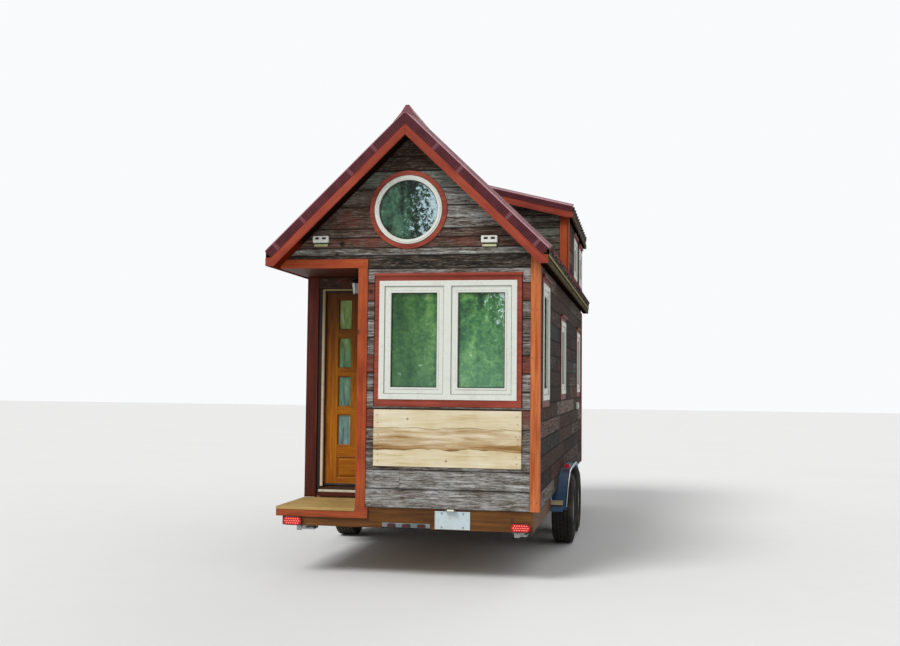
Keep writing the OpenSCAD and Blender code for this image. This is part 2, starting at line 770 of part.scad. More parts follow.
// A dormer's barge board with its tail cut level
module dormer_barge()
    polygon([[slack, dormer_z(slack, dormer_deck_apex - dormer_barge_h)],
             [dormer_x(dormer_soffit_z, dormer_deck_apex - dormer_barge_h), dormer_soffit_z],
             [dormer_fascia_x, dormer_soffit_z],
             [dormer_fascia_x, dormer_z(dormer_fascia_x, dormer_deck_apex)],
             [slack, dormer_z(slack, dormer_deck_apex)]]);

// A main barge board from x0 to its tail, whose upper corners are given
module main_barge(x0, outer_x, corners) {
    low_apex = deck_apex - barge_h;
    polygon(concat([[x0, main_z(x0, deck_apex)]], corners,
                   [[outer_x, soffit_z], [main_x(soffit_z, low_apex), soffit_z],
                    [x0, main_z(x0, low_apex)]]));
}

module barge_boards() color(barge_red) placed() both_sides() {
    outer_x = eave_x - 14;
    tail_top = main_z(tail_x, deck_apex);
    along_y(-rake_over, -rake_over + barge_t - slack)
        main_barge(slack, outer_x, [[tail_x, tail_top], [outer_x, tail_top]]);
    along_y(roof_y1 + slack, roof_y1 + barge_t)
        main_barge(wall_x + slack, outer_x, [[outer_x, main_z(outer_x, deck_apex)]]);
    over_main_roof()
        along_y(dormer_face_y, dormer_face_y + barge_t - slack) dormer_barge();
    along_y(roof_y1 + slack, roof_y1 + barge_t) dormer_barge();
}

module eave_fascias() color("#6a4a36") placed() both_sides() {
    slab(board_x + slack, fascia_x, roof_y0, roof_y1, soffit_z - slack, fascia_z1);
    inner = dormer_fascia_x - 18;
    along_y(dormer_face_y + barge_t, roof_y1)
        polygon([[inner, dormer_soffit_z], [dormer_fascia_x, dormer_soffit_z],
                 [dormer_fascia_x, dormer_z(dormer_fascia_x, dormer_deck_apex)],
                 [inner, dormer_z(inner, dormer_deck_apex)]]);
}

// Trim

trim_end = 90;                             // width of a corner board on an end wall
trim_side = 80;                            // width of a corner board on a long wall
bay_end_x = -353;                          // right edge of the bay's corner board beside the porch
cheek_trim_x = [1050, 1134];               // corner boards on the dormer cheeks

// Corner board with one leg on the end wall and one on the long wall
module corner_pair(leg_end, leg_side) {
    top_in = main_z(wall_x - leg_end + trim_t, wall_apex);
    along_y(0, trim_t)
        polygon([[trim_x - leg_end, siding_z], [trim_x, siding_z], [trim_x, main_z(trim_x, wall_apex)],
                 [trim_x - leg_end, top_in]]);
    along_y(trim_t, leg_side)
        polygon([[wall_x, siding_z], [trim_x, siding_z], [trim_x, main_z(trim_x, wall_apex)],
                 [wall_x, main_z(wall_x, wall_apex)]]);
}

module corner_boards() color(red) placed() {
    // right corner of the porch end
    corner_pair(81, 100);
    // left corner of the bay, beside the porch
    bay_trim = bay_x - trim_t;
    slab(bay_trim, bay_end_x, 0, trim_t, siding_z, beam_z - slack);
    slab(bay_trim, bay_x, trim_t - reach, 100, siding_z, beam_z - slack);
    // corner of the long wall beside the door
    slab(-trim_x, -1045, entry_y - trim_t, entry_y, siding_z, beam_z - slack);
    along_y(entry_y - reach, entry_y + trim_side)
        polygon([[-trim_x, siding_z], [-wall_x, siding_z], [-wall_x, beam_z - slack],
                 [-trim_x, beam_z - slack]]);
    // front corners, under the eaves
    both_sides() {
        slab(trim_x - trim_end, trim_x, side_y1, side_y1 + trim_t, siding_z, beam_z);
        slab(wall_x, trim_x, side_y1 - trim_side, side_y1 + reach, siding_z, beam_z);
    }
    // dormer corners, above the roof
    foot_apex = rib_apex + 3;
    head_apex = dormer_under_apex - 10;
    both_sides() {
        along_y(dormer_y - trim_t, dormer_y)
            polygon([for (x = cheek_trim_x) [x, main_z(x, foot_apex)],
                     for (x = [cheek_trim_x[1], cheek_trim_x[0]]) [x, dormer_z(x, head_apex)]]);
        for (run = [[dormer_y, dormer_y + trim_side], [side_y1 - trim_side, side_y1]])
            along_y(run[0], run[1])
                polygon([for (x = [wall_x, trim_x]) [x, main_z(x, foot_apex)],
                         for (x = [trim_x, wall_x]) [x, dormer_z(x, head_apex)]]);
    }
}

module porch_header() color(red) placed() {
    // board over the porch opening, under the slope at its left end
    along_y(0, side_y0 - slack)
        polygon([[-trim_x, beam_z], [bay_end_x, beam_z], [bay_end_x, header_z1],
                 [-main_x(header_z1, wall_apex), header_z1], [-trim_x, main_z(trim_x, wall_apex)]]);
    // beam behind it and the return along the left side
    slab(-wall_x, bay_x - slack, side_y0, side_y0 + wall_t, beam_z, plate_z - slack);
    along_y(side_y0 + wall_t + slack, entry_y - slack)
        polygon([[-wall_x, beam_z], [-wall_in - slack, beam_z],
                 [-wall_in - slack, main_z(wall_in + slack, wall_apex)], [-wall_x, plate_z]]);
    slab(-trim_x, -wall_x, 0, entry_y - slack, beam_z, main_z(trim_x, wall_apex));
    // board ceiling, which is the loft floor above
    slab(-wall_in - reach, bay_x - slack, side_y0 + wall_t - reach, entry_y - slack,
         beam_z, plate_z - slack);
}

// Windows

// White frame with its sashes, drawn from its lower left corner, outside towards -Y
module window_frame(w, h, lights) {
    light_w = (w - 2 * frame_w - (lights - 1) * mullion_w) / lights;
    difference() {
        slab(0, w, -frame_proud, frame_deep, 0, h);
        for (i = [0:lights - 1]) {
            x = frame_w + i * (light_w + mullion_w);
            slab(x, x + light_w, -frame_proud - reach, -frame_proud + sash_step, frame_w, h - frame_w);
            slab(x + sash_w, x + light_w - sash_w, -frame_proud - reach, frame_deep + reach,
                 frame_w + sash_w, h - frame_w - sash_w);
        }
    }
}

module window_panes(w, h, lights) {
    light_w = (w - 2 * frame_w - (lights - 1) * mullion_w) / lights;
    for (i = [0:lights - 1]) {
        x = frame_w + i * (light_w + mullion_w);
        slab(x + sash_w, x + light_w - sash_w, 8, 8 + pane_t, frame_w + sash_w, h - frame_w - sash_w);
    }
}

module frame_in(win, lights = 1)
    translate([win[0], 0, win[2]]) window_frame(win[1] - win[0], win[3] - win[2], lights);

module panes_in(win, lights = 1)
    translate([win[0], 0, win[2]]) window_panes(win[1] - win[0], win[3] - win[2], lights);

// Casing boards round a window and the drip cap over it
module casing_round(win) {
    difference() {
        slab(win[0] - casing_w, win[1] + casing_w, -trim_t, 0,
             win[2] - casing_sill, win[3] + casing_head);
        slab(win[0], win[1], -trim_t - reach, reach, win[2], win[3]);
    }
    slab(win[0] - casing_w - 6, win[1] + casing_w + 6, -trim_t - 22, 0, win[3] + casing_head,
         win[3] + casing_head + 22);
}

module ring(r_out, r_in, y0, y1)
    translate([0, 0, round_z])
        rotate([90, 0, 0])
            translate([0, 0, -y1])
                difference() {
                    cylinder(r = r_out, h = y1 - y0, $fn = 96);
                    translate([0, 0, -reach]) cylinder(r = r_in, h = y1 - y0 + 2 * reach, $fn = 96);
                }

module rear_window() color(white) placed() on_rear() frame_in(rear_win, 2);

module round_windows() color(white) placed() {
    on_rear() ring(round_r, round_glass_r, -frame_proud, frame_deep);
    on_front() ring(round_r, round_glass_r, -frame_proud, frame_deep);
}

module side_windows() color(white) placed() {
    on_right() for (w = concat(right_wins, dormer_wins)) frame_in(w);
    on_left() for (w = concat(left_wins, dormer_wins)) frame_in(w);
    on_front() frame_in(front_win);
}

module window_casings() color(red) placed() {
    on_rear() casing_round(rear_win);
    on_rear() ring(round_casing_r, round_r + slack, -trim_t - 3, 0);
    on_front() ring(round_casing_r, round_r + slack, -trim_t - 3, 0);
    on_front() casing_round(front_win);
    on_right() for (w = concat(right_wins, dormer_wins)) casing_round(w);
    on_left() for (w = concat(left_wins, dormer_wins)) casing_round(w);
}

module round_pane()
    translate([0, 8 + pane_t, round_z])
        rotate([90, 0, 0])
            cylinder(r = round_glass_r, h = pane_t, $fn = 96);

module window_glass() color("#5f7f5a") placed() {
    on_rear() panes_in(rear_win, 2);
    on_rear() round_pane();
    on_front() round_pane();
    on_front() panes_in(front_win);
    on_right() for (w = concat(right_wins, dormer_wins)) panes_in(w);
    on_left() for (w = concat(left_wins, dormer_wins)) panes_in(w);
}

// Door

module door_frame() color(white) placed() {
    y1 = leaf_y + leaf_t;
    jamb_l = leaf_x0 - leaf_gap;
    jamb_r = leaf_x1 + leaf_gap;
    stop_y = leaf_y - leaf_gap;
    difference() {
        slab(-wall_in + slack, bay_x - slack, entry_y - trim_t, y1, floor_z + 36, head_z - slack);
        slab(jamb_l, jamb_r, entry_y - trim_t - reach, y1 + reach, floor_z, leaf_z1 + leaf_gap);
    }
    // stops that the door closes against
    slab(jamb_l - reach, leaf_x0 + 8, stop_y - 20, stop_y, floor_z + 36, head_z - 20);
    slab(leaf_x1 - 8, jamb_r + reach, stop_y - 20, stop_y, floor_z + 36, head_z - 20);
    slab(jamb_l, jamb_r, stop_y - 20, stop_y, leaf_z1 - 8, head_z - 20);
}

module door_sill() color(deck_tan) placed()
    along_x(-wall_in + slack, bay_x - slack)
        polygon([[entry_y - trim_t - 16, siding_z], [entry_in, siding_z], [entry_in, floor_z + 35],
                 [leaf_y, floor_z + 35], [entry_y - trim_t - 16, floor_z + 2]]);

function lite_x(column) = leaf_x0 + stile_w + column * (leaf_x1 - leaf_x0 - 2 * stile_w - lite_w);

module door_leaf() color(honey) placed()
    difference() {
        slab(leaf_x0, leaf_x1, leaf_y, leaf_y + leaf_t, leaf_z0, leaf_z1);
        for (column = [0, 1], row = [0:3])
            translate([lite_x(column), leaf_y - reach, lite_z + row * lite_pitch])
                cube([lite_w, leaf_t + 2 * reach, lite_h]);
        // moulded groove round the raised panel, on both faces
        for (y = [leaf_y - reach, leaf_y + leaf_t - 9])
            difference() {
                slab(leaf_x0 + stile_w, leaf_x1 - stile_w, y, y + 9 + reach, rail_z[0], rail_z[1]);
                slab(leaf_x0 + stile_w + 24, leaf_x1 - stile_w - 24, y - 1, y + 10 + reach,
                     rail_z[0] + 24, rail_z[1] - 24);
            }
    }

module door_glass() color("#6f8f62") placed()
    for (column = [0, 1], row = [0:3])
        translate([lite_x(column), leaf_y + leaf_t / 2 - 4, lite_z + row * lite_pitch])
            cube([lite_w, 8, lite_h]);

module door_hardware() color("#8a7a5c") placed() {
    handle_x = leaf_x1 - 62;
    handle_z = 1640;
    for (side = [-1, 1])
        translate([handle_x, side < 0 ? leaf_y : leaf_y + leaf_t, handle_z])
            rotate([-90 * side, 0, 0]) {
                cylinder(r = 27, h = 6);
                cylinder(r = 9, h = 36);
                translate([side < 0 ? -105 : -105, -9, 27]) cube([114, 18, 11]);
            }
    for (z = [820, 1620, 2380]) {
        translate([hinge_x, hinge_y, z]) cylinder(r = hinge_r, h = 90);
        slab(leaf_x0 + 1, leaf_x0 + 40, leaf_y + leaf_t, leaf_y + leaf_t + 3, z, z + 90);
        slab(hinge_x, leaf_x0 + 10, leaf_y + leaf_t, leaf_y + leaf_t + 3, z, z + 90);
    }
}

// Fittings on the porch end

module sign_board() color(pine) placed() {
    seams = [953, 1100, 1280, 1444];
    ends = [-283, 1001];
    gap = 1.5;
    for (i = [0:2])
        slab(ends[0], ends[1], -8, side_y0, seams[i] + gap, seams[i + 1] - gap);
}

lamp_y = rim_y0 - 1;

module lamp(x, z, w, h, depth)
    translate([x, 0, z])
        along_y(lamp_y - depth, lamp_y)
            lozenge(w, h);

module tail_lamps() color("#c01818") placed() {
    for (x = [-998, 998]) translate([0, x < 0 ? -trim_t - 1 : 0, 0]) lamp(x, 465, 166, 66, 24);
    for (x = [-118, 14, 146]) translate([0, -13, 0]) lamp(x, 450, 62, 24, 10);
    both_sides() slab(fender_out - 72, fender_out - 12, mid_axle_y - 500, mid_axle_y - 440, 788, 824);
}

module lamp_bar() color(zinc) placed() {
    slab(-197, 224, lamp_y - 12, lamp_y, 427, 473);
    slab(358, 447, lamp_y - 46, lamp_y, 586, 598);
    slab(364, 441, lamp_y - 46, lamp_y - 22, 598, 608);
}

module number_plate() color("#f2f2ee") placed() slab(262, 567, lamp_y - 8, lamp_y - 4, 432, 584);

// Hooded outlet: a box with a sloping hood and two slots
module hood_vent(x, z, w, h) {
    difference() {
        translate([x - w / 2, 0, 0])
            along_x(0, w)
                polygon([[side_y0, z], [side_y0 - 12, z], [side_y0 - 12, z + 0.22 * h],
                         [side_y0 - 42, z + 0.34 * h], [side_y0 - 34, z + h], [side_y0, z + h]]);
        for (sx = [-1, 1])
            translate([x + sx * w * 0.21 - w * 0.13, side_y0 - 60, z + 0.62 * h])
                cube([w * 0.26, 44, h * 0.17]);
    }
}

module vents() color(white) placed() {
    hood_vent(-785, 2867, 160, 94);
    hood_vent(715, 2846, 160, 94);
    on_right() slab(4960, 5040, -40, 0, 1350, 1440);
}

module wall_lantern() color("#23282a") placed() {
    y = 210;
    out = bay_x - 95;
    slab(bay_x - 12, bay_x, y - 30, y + 30, 2470, 2600);
    slab(out, bay_x - 12, y - 6, y + 6, 2588, 2600);
    translate([out, y, 2450]) cylinder(r = 34, h = 10, $fn = 6);
    translate([out, y, 2455]) cylinder(r1 = 28, r2 = 42, h = 105, $fn = 6);
    translate([out, y, 2560]) cylinder(r1 = 54, r2 = 16, h = 45, $fn = 6);
    translate([out, y, 2600]) cylinder(r = 8, h = 26);
}

chassis_frame();
coupler();
tongue_jack();
stabilizer_jacks();
axles();
fender_left();
fender_right();
rim_boards();
floor();
porch_deck();
porch_fascia();
rear_wall();
rear_gable();
porch_side_wall();
entry_header();
left_wall();
right_wall();
front_wall();
front_gable();
dormer_walls();
dormer_cheeks();
roof_decks();
roof_metal();
dormer_decks();
dormer_metal();
ridge_cap();
rake_flashing();
barge_boards();
eave_fascias();
corner_boards();
porch_header();
rear_window();
round_windows();
side_windows();
window_casings();
window_glass();
door_frame();
door_sill();
door_leaf();
door_glass();
door_hardware();
tyre_rear_left();
tyre_rear_right();
tyre_front_left();
tyre_front_right();
rim_rear_left();
rim_rear_right();
rim_front_left();
rim_front_right();
sign_board();
tail_lamps();
lamp_bar();
number_plate();
vents();
wall_lantern();
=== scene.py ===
# %% [markdown]
# # A tiny house on a tandem trailer
# The house arrives as exact, plain solids: walls, roof sheets, windows, wheels. This lesson dresses
# them. Each step first says what the piece is on the real house, how it could be made, and why one
# way was chosen. Lengths are metres, X runs to the right seen from the porch end, Y runs to the hitch.

import math
import random

import bpy
import numpy as np
from mathutils import Matrix, Vector


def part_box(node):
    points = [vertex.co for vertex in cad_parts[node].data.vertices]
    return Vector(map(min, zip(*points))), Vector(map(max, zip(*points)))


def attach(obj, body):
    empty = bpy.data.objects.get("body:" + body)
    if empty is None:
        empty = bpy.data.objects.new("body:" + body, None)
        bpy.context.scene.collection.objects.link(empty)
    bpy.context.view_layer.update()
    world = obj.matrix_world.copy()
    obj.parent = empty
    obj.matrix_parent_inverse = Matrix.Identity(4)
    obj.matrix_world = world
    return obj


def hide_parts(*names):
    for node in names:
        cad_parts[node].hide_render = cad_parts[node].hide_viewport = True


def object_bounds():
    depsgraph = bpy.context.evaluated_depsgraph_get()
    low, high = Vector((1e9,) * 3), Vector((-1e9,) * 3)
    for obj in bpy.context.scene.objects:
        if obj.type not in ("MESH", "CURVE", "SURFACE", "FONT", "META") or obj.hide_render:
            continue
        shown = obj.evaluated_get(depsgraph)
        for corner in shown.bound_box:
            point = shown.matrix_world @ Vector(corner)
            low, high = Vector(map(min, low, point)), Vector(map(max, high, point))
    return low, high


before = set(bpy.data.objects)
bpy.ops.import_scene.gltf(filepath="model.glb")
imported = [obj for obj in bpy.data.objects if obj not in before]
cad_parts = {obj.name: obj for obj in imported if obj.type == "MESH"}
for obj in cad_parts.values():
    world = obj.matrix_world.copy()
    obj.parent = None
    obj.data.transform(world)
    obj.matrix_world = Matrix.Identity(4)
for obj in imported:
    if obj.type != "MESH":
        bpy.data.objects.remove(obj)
cad_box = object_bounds()
scene = bpy.context.scene
MM = 0.001
UP = Vector((0, 0, 1))
WHEELS = ("rear_left", "rear_right", "front_left", "front_right")
chance = random.Random(11)
print(len(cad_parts), "solids loaded, box", [tuple(round(v, 3) for v in c) for c in cad_box])

# %% [markdown]
# ## The camera
# The photograph was taken from a little to the right of the house, at eye height.
# A camera could be aimed with a Track To constraint, but a measured place and three angles are
# simpler and stay put, so the lens, the place and the turns are written down as values.

# %% Camera
EYE = Vector((2.018, -12.503, 1.676))
YAW, PITCH, ROLL = 0.1823, 0.0567, 0.010
LENS_MM, SENSOR_MM = 42.21, 36

bpy.ops.object.camera_add()
camera = bpy.context.active_object
camera.data.lens = LENS_MM
camera.data.sensor_width = SENSOR_MM
ahead = Vector((-math.sin(YAW) * math.cos(PITCH), math.cos(YAW) * math.cos(PITCH), math.sin(PITCH)))
level = Vector((math.cos(YAW), math.sin(YAW), 0))
above = level.cross(ahead)
right = level * math.cos(ROLL) + above * math.sin(ROLL)
upward = above * math.cos(ROLL) - level * math.sin(ROLL)
camera.matrix_world = Matrix.Translation(EYE) @ Matrix((right, upward, -ahead)).transposed().to_4x4()
scene.camera = camera
print("camera at", tuple(round(v, 2) for v in EYE))

# %% [markdown]
# ## Words for materials
# A material is a small tree of nodes. Placing nodes by hand in code takes many lines, so a few
# helpers say the common things: add a node, mix two colours, fade a value between two limits, add
# up patterns by weight, draw a noise, stretch it, and turn heights into a bump. Colours are written
# as a painter's hex code, and patterns lie on the object's own coordinates, which are the house's.

# %% Node helpers
def colour(code):
    """A hex colour such as #b4502f as the linear red, green, blue and alpha that nodes use."""
    parts = [int(code[i : i + 2], 16) / 255 for i in (1, 3, 5)]
    return tuple(p / 12.92 if p < 0.04045 else ((p + 0.055) / 1.055) ** 2.4 for p in parts) + (1,)


def add(tree, kind, **given):
    """Adds a shader node. Lower case names are its settings, i_0 is its first input, others are inputs."""
    made = tree.nodes.new("ShaderNode" + kind)
    for name, value in given.items():
        if name.startswith("i_"):
            socket = made.inputs[int(name[2:])]
        elif name[0].isupper():
            socket = made.inputs[name.replace("_", " ")]
        else:
            setattr(made, name, value)
            continue
        if isinstance(value, bpy.types.NodeSocket):
            tree.links.new(value, socket)
        else:
            socket.default_value = colour(value) if isinstance(value, str) else value
    return made


def mix(tree, factor, first, second):
    """The first colour where the factor is nought, the second where it is one."""
    return add(tree, "Mix", data_type="RGBA", i_0=factor, i_6=first, i_7=second).outputs[2]


def sums(tree, operation, first, second=0.0, third=0.0):
    """One step of arithmetic on values."""
    return add(tree, "Math", operation=operation, i_0=first, i_1=second, i_2=third).outputs[0]


def times(tree, first, second):
    """The product of two values."""
    return sums(tree, "MULTIPLY", first, second)


def minus(tree, first, second):
    """The first value less the second."""
    return sums(tree, "SUBTRACT", first, second)


def absolute(tree, value):
    """A value without its sign."""
    return sums(tree, "ABSOLUTE", value)


def summed(tree, start, *weighted):
    """A start value plus several patterns, each times its weight."""
    for pattern, weight in weighted:
        start = sums(tree, "MULTIPLY_ADD", pattern, weight, start)
    return start


def fade(tree, value, low, high, to_low=0.0, to_high=1.0):
    """Runs from one result at a low value to another at a high value, and stays level outside them."""
    made = add(tree, "MapRange", i_0=value, i_1=low, i_2=high, i_3=to_low, i_4=to_high)
    return made.outputs[0]


def band(tree, value, low, high):
    """One between two values and nothing outside them, with edges a millimetre soft."""
    return times(tree, fade(tree, value, low - MM, low), fade(tree, value, high + MM, high))


def ramp(tree, value, *stops):
    """A row of colours, each with the value at which it stands."""
    made = add(tree, "ValToRGB", Fac=value)
    points = made.color_ramp.elements
    points[0].position, points[0].color = stops[0][0], colour(stops[0][1])
    points[1].position, points[1].color = stops[-1][0], colour(stops[-1][1])
    for place, code in stops[1:-1]:
        points.new(place).color = colour(code)
    return made.outputs[0]


def here(tree):
    """The place of a point in the house's coordinates."""
    return add(tree, "TexCoord").outputs["Object"]


def axes_of(tree, place):
    """The X, Y and Z of a place or a direction."""
    return tuple(add(tree, "SeparateXYZ", Vector=place).outputs)


def face_normal(tree):
    """The X, Y and Z of the way that a face looks."""
    return axes_of(tree, add(tree, "NewGeometry").outputs["True Normal"])


def height_above_ground(tree):
    """The Z of a point."""
    return axes_of(tree, here(tree))[2]


def outward(tree):
    """How far a point is from the middle line of the house."""
    return absolute(tree, axes_of(tree, here(tree))[0])


def stretched(tree, place, factors):
    """A place times a factor on each axis: a pattern on it is packed where the factor is large."""
    return add(tree, "VectorMath", operation="MULTIPLY", i_0=place, i_1=factors).outputs[0]


def face_number(tree, name):
    """A number that the faces of a piece carry, such as the tone of a board."""
    return add(tree, "Attribute", attribute_name=name).outputs["Fac"]


def noise(tree, place, scale, detail=5.0, rough=0.6, bend=0.0):
    """A cloudy pattern between nought and one."""
    made = add(tree, "TexNoise", Vector=place, Scale=scale, Detail=detail, Roughness=rough, Distortion=bend)
    return made.outputs[0]


def cells(tree, place, scale):
    """Distance to the nearest of many scattered points, for knots and lens ribs."""
    return add(tree, "TexVoronoi", Vector=place, Scale=scale).outputs["Distance"]


def bump(tree, height, depth, strength=0.6):
    """A normal that makes heights look raised by at most the depth."""
    return add(tree, "Bump", Height=height, Distance=depth, Strength=strength).outputs[0]


def shader_of(tree):
    """The one surface shader of a tree."""
    return next(n for n in tree.nodes if n.type == "BSDF_PRINCIPLED")


def new_finish(name, rough, metal=0.0, coat=0.0, coat_rough=0.1, specular=0.5):
    """A new material with its tree and shader. What is the same all over is set on the shader itself."""
    made = bpy.data.materials.new(name)
    made.use_nodes = True
    tree = made.node_tree
    shader = shader_of(tree)
    shader.inputs["Roughness"].default_value = rough
    shader.inputs["Metallic"].default_value = metal
    shader.inputs["Coat Weight"].default_value = coat
    shader.inputs["Coat Roughness"].default_value = coat_rough
    shader.inputs["Specular IOR Level"].default_value = specular
    return made, tree, shader


def colour_so_far(made):
    """The tree, the shader and the present colour of a material, to paint over it."""
    shader = shader_of(made.node_tree)
    return made.node_tree, shader, shader.inputs["Base Color"].links[0].from_socket


def connect(tree, shader, **given):
    """Links values to the inputs of the shader."""
    for name, value in given.items():
        tree.links.new(value, shader.inputs[name.replace("_", " ")])


print("node helpers ready")

# %% [markdown]
# ## Floor, sky and lamps
# A studio needs little: a pale floor that takes the shadow, an even white sky, a broad soft sun
# from the upper left and a weak one from behind. Stronger lamps would wash the paint out, so
# the lamps stay at a level where a colour renders as it is written. What the lens sees of the sky,
# also through glass, is plain white, while polished metal mirrors the duller sky that lights it.

# %% Studio
FLOOR_HALF = 60.0
SKY_LIGHT = 0.52
SKY_TINT = (0.97, 0.985, 1.0, 1)
SEEN_SKY = (0.95, 0.96, 0.97, 1)
KEY_SUN = (1.95, math.radians(26), (-0.62, -0.95, 1.25))
BACK_SUN = (0.5, math.radians(40), (0.15, 1.0, 0.8))


def sun(name, strength, spread, source):
    """A sun lamp that shines from the direction of source, with soft shadows by its spread."""
    bpy.ops.object.light_add(type="SUN", rotation=Vector(source).to_track_quat("Z", "Y").to_euler())
    lamp = bpy.context.active_object
    lamp.name = name
    lamp.data.energy = strength
    lamp.data.angle = spread


sun("key_sun", *KEY_SUN)
sun("back_sun", *BACK_SUN)
scene.view_settings.view_transform = "Standard"
world = bpy.data.worlds.new("sky")
scene.world = world
world.use_nodes = True
sky = world.node_tree
sky_out = next(n for n in sky.nodes if n.type == "OUTPUT_WORLD")
sky_fill = next(n for n in sky.nodes if n.type == "BACKGROUND")
sky_fill.inputs["Color"].default_value = SKY_TINT
sky_fill.inputs["Strength"].default_value = SKY_LIGHT
rays = add(sky, "LightPath").outputs
by_lens = sums(sky, "MAXIMUM", rays["Is Camera Ray"], rays["Is Transmission Ray"])
sky_seen = add(sky, "Background", Color=SEEN_SKY)
blend = add(sky, "MixShader", i_0=by_lens, i_1=sky_fill.outputs[0], i_2=sky_seen.outputs[0])
sky.links.new(blend.outputs[0], sky_out.inputs["Surface"])

# %% [markdown]
# ## Wood that knows its direction
# Grain runs along a board. An image could be wrapped on every board, but a noise that is drawn out
# along one axis gives endless boards that differ. Each board carries a number, its tone, which
# slides the noise so that two neighbours never share a streak. Sloping boards are turned level first.

# %% Grain along a board
GRAIN_ACROSS = 16.0
GRAIN_AXES = {"x": (1, GRAIN_ACROSS, GRAIN_ACROSS), "y": (GRAIN_ACROSS, 1, GRAIN_ACROSS),
              "z": (GRAIN_ACROSS, GRAIN_ACROSS, 1)}
TONE_SHIFT = (31.0, 17.0, 43.0)


def solid_faces(node):
    """Centres, normals and areas of a solid's triangles."""
    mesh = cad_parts[node].data
    return [(p.center.copy(), p.normal.copy(), p.area) for p in mesh.polygons]


def roof_plane(node):
    """A point and the normal of the widest upper slope of a roof node to the right of the ridge."""
    faces = [f for f in solid_faces(node) if f[1].z > 0.3 and f[1].x > 0.05]
    centre, normal, _ = max(faces, key=lambda f: f[2])
    return centre, normal


MAIN_POINT, MAIN_NORMAL = roof_plane("roof_decks")
DORMER_POINT, DORMER_NORMAL = roof_plane("dormer_decks")
MAIN_PITCH = math.atan2(MAIN_NORMAL.x, MAIN_NORMAL.z)
DORMER_PITCH = math.atan2(DORMER_NORMAL.x, DORMER_NORMAL.z)
DORMER_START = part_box("dormer_walls")[0].y


def on_dormer(tree, y):
    """Nought on the porch roof and one where the dormer roof takes over."""
    return fade(tree, y, DORMER_START - 0.3, DORMER_START - 0.2)


def levelled(tree, place):
    """Turns both roof slopes level, so that grain along X follows a sloping board on either side."""
    x, y, z = axes_of(tree, place)
    folded = add(tree, "CombineXYZ", X=absolute(tree, x), Y=y, Z=z).outputs[0]
    angle = fade(tree, on_dormer(tree, y), 0.0, 1.0, -MAIN_PITCH, -DORMER_PITCH)
    return add(tree, "VectorRotate", rotation_type="Y_AXIS", Vector=folded, Angle=angle).outputs[0]


def board_place(tree, along):
    """The place on a board, slid by its tone, before and after it is drawn out along the grain."""
    place = here(tree)
    if along == "slope":
        place = levelled(tree, place)
    tone = face_number(tree, "tone")
    slide = add(tree, "VectorMath", operation="SCALE", i_0=TONE_SHIFT, Scale=tone).outputs[0]
    moved = add(tree, "VectorMath", operation="ADD", i_0=place, i_1=slide).outputs[0]
    drawn = stretched(tree, moved, GRAIN_AXES["x" if along == "slope" else along])
    return moved, drawn, tone


print(f"roof pitch {math.degrees(MAIN_PITCH):.1f}, dormer pitch {math.degrees(DORMER_PITCH):.1f}")

# %% [markdown]
# ## Weathered barn boards
# The cladding is old barn wood: grey where rain has washed it, brown and black where it was
# sheltered, with traces of red paint, knots and long splits. Every board carries five numbers on its
# faces: its tone picks how silver it is, its paint how much red is left, its hue whether it is greener
# or browner, and its foot and head say where its lower and upper edges lie, which are darkened as painted
# shade.

# %% Barn wood
CHIP_ACROSS = 7.0
EDGE_SHADE = 0.018
SPECK_SHIFT = (7.0, 3.0, 5.0)


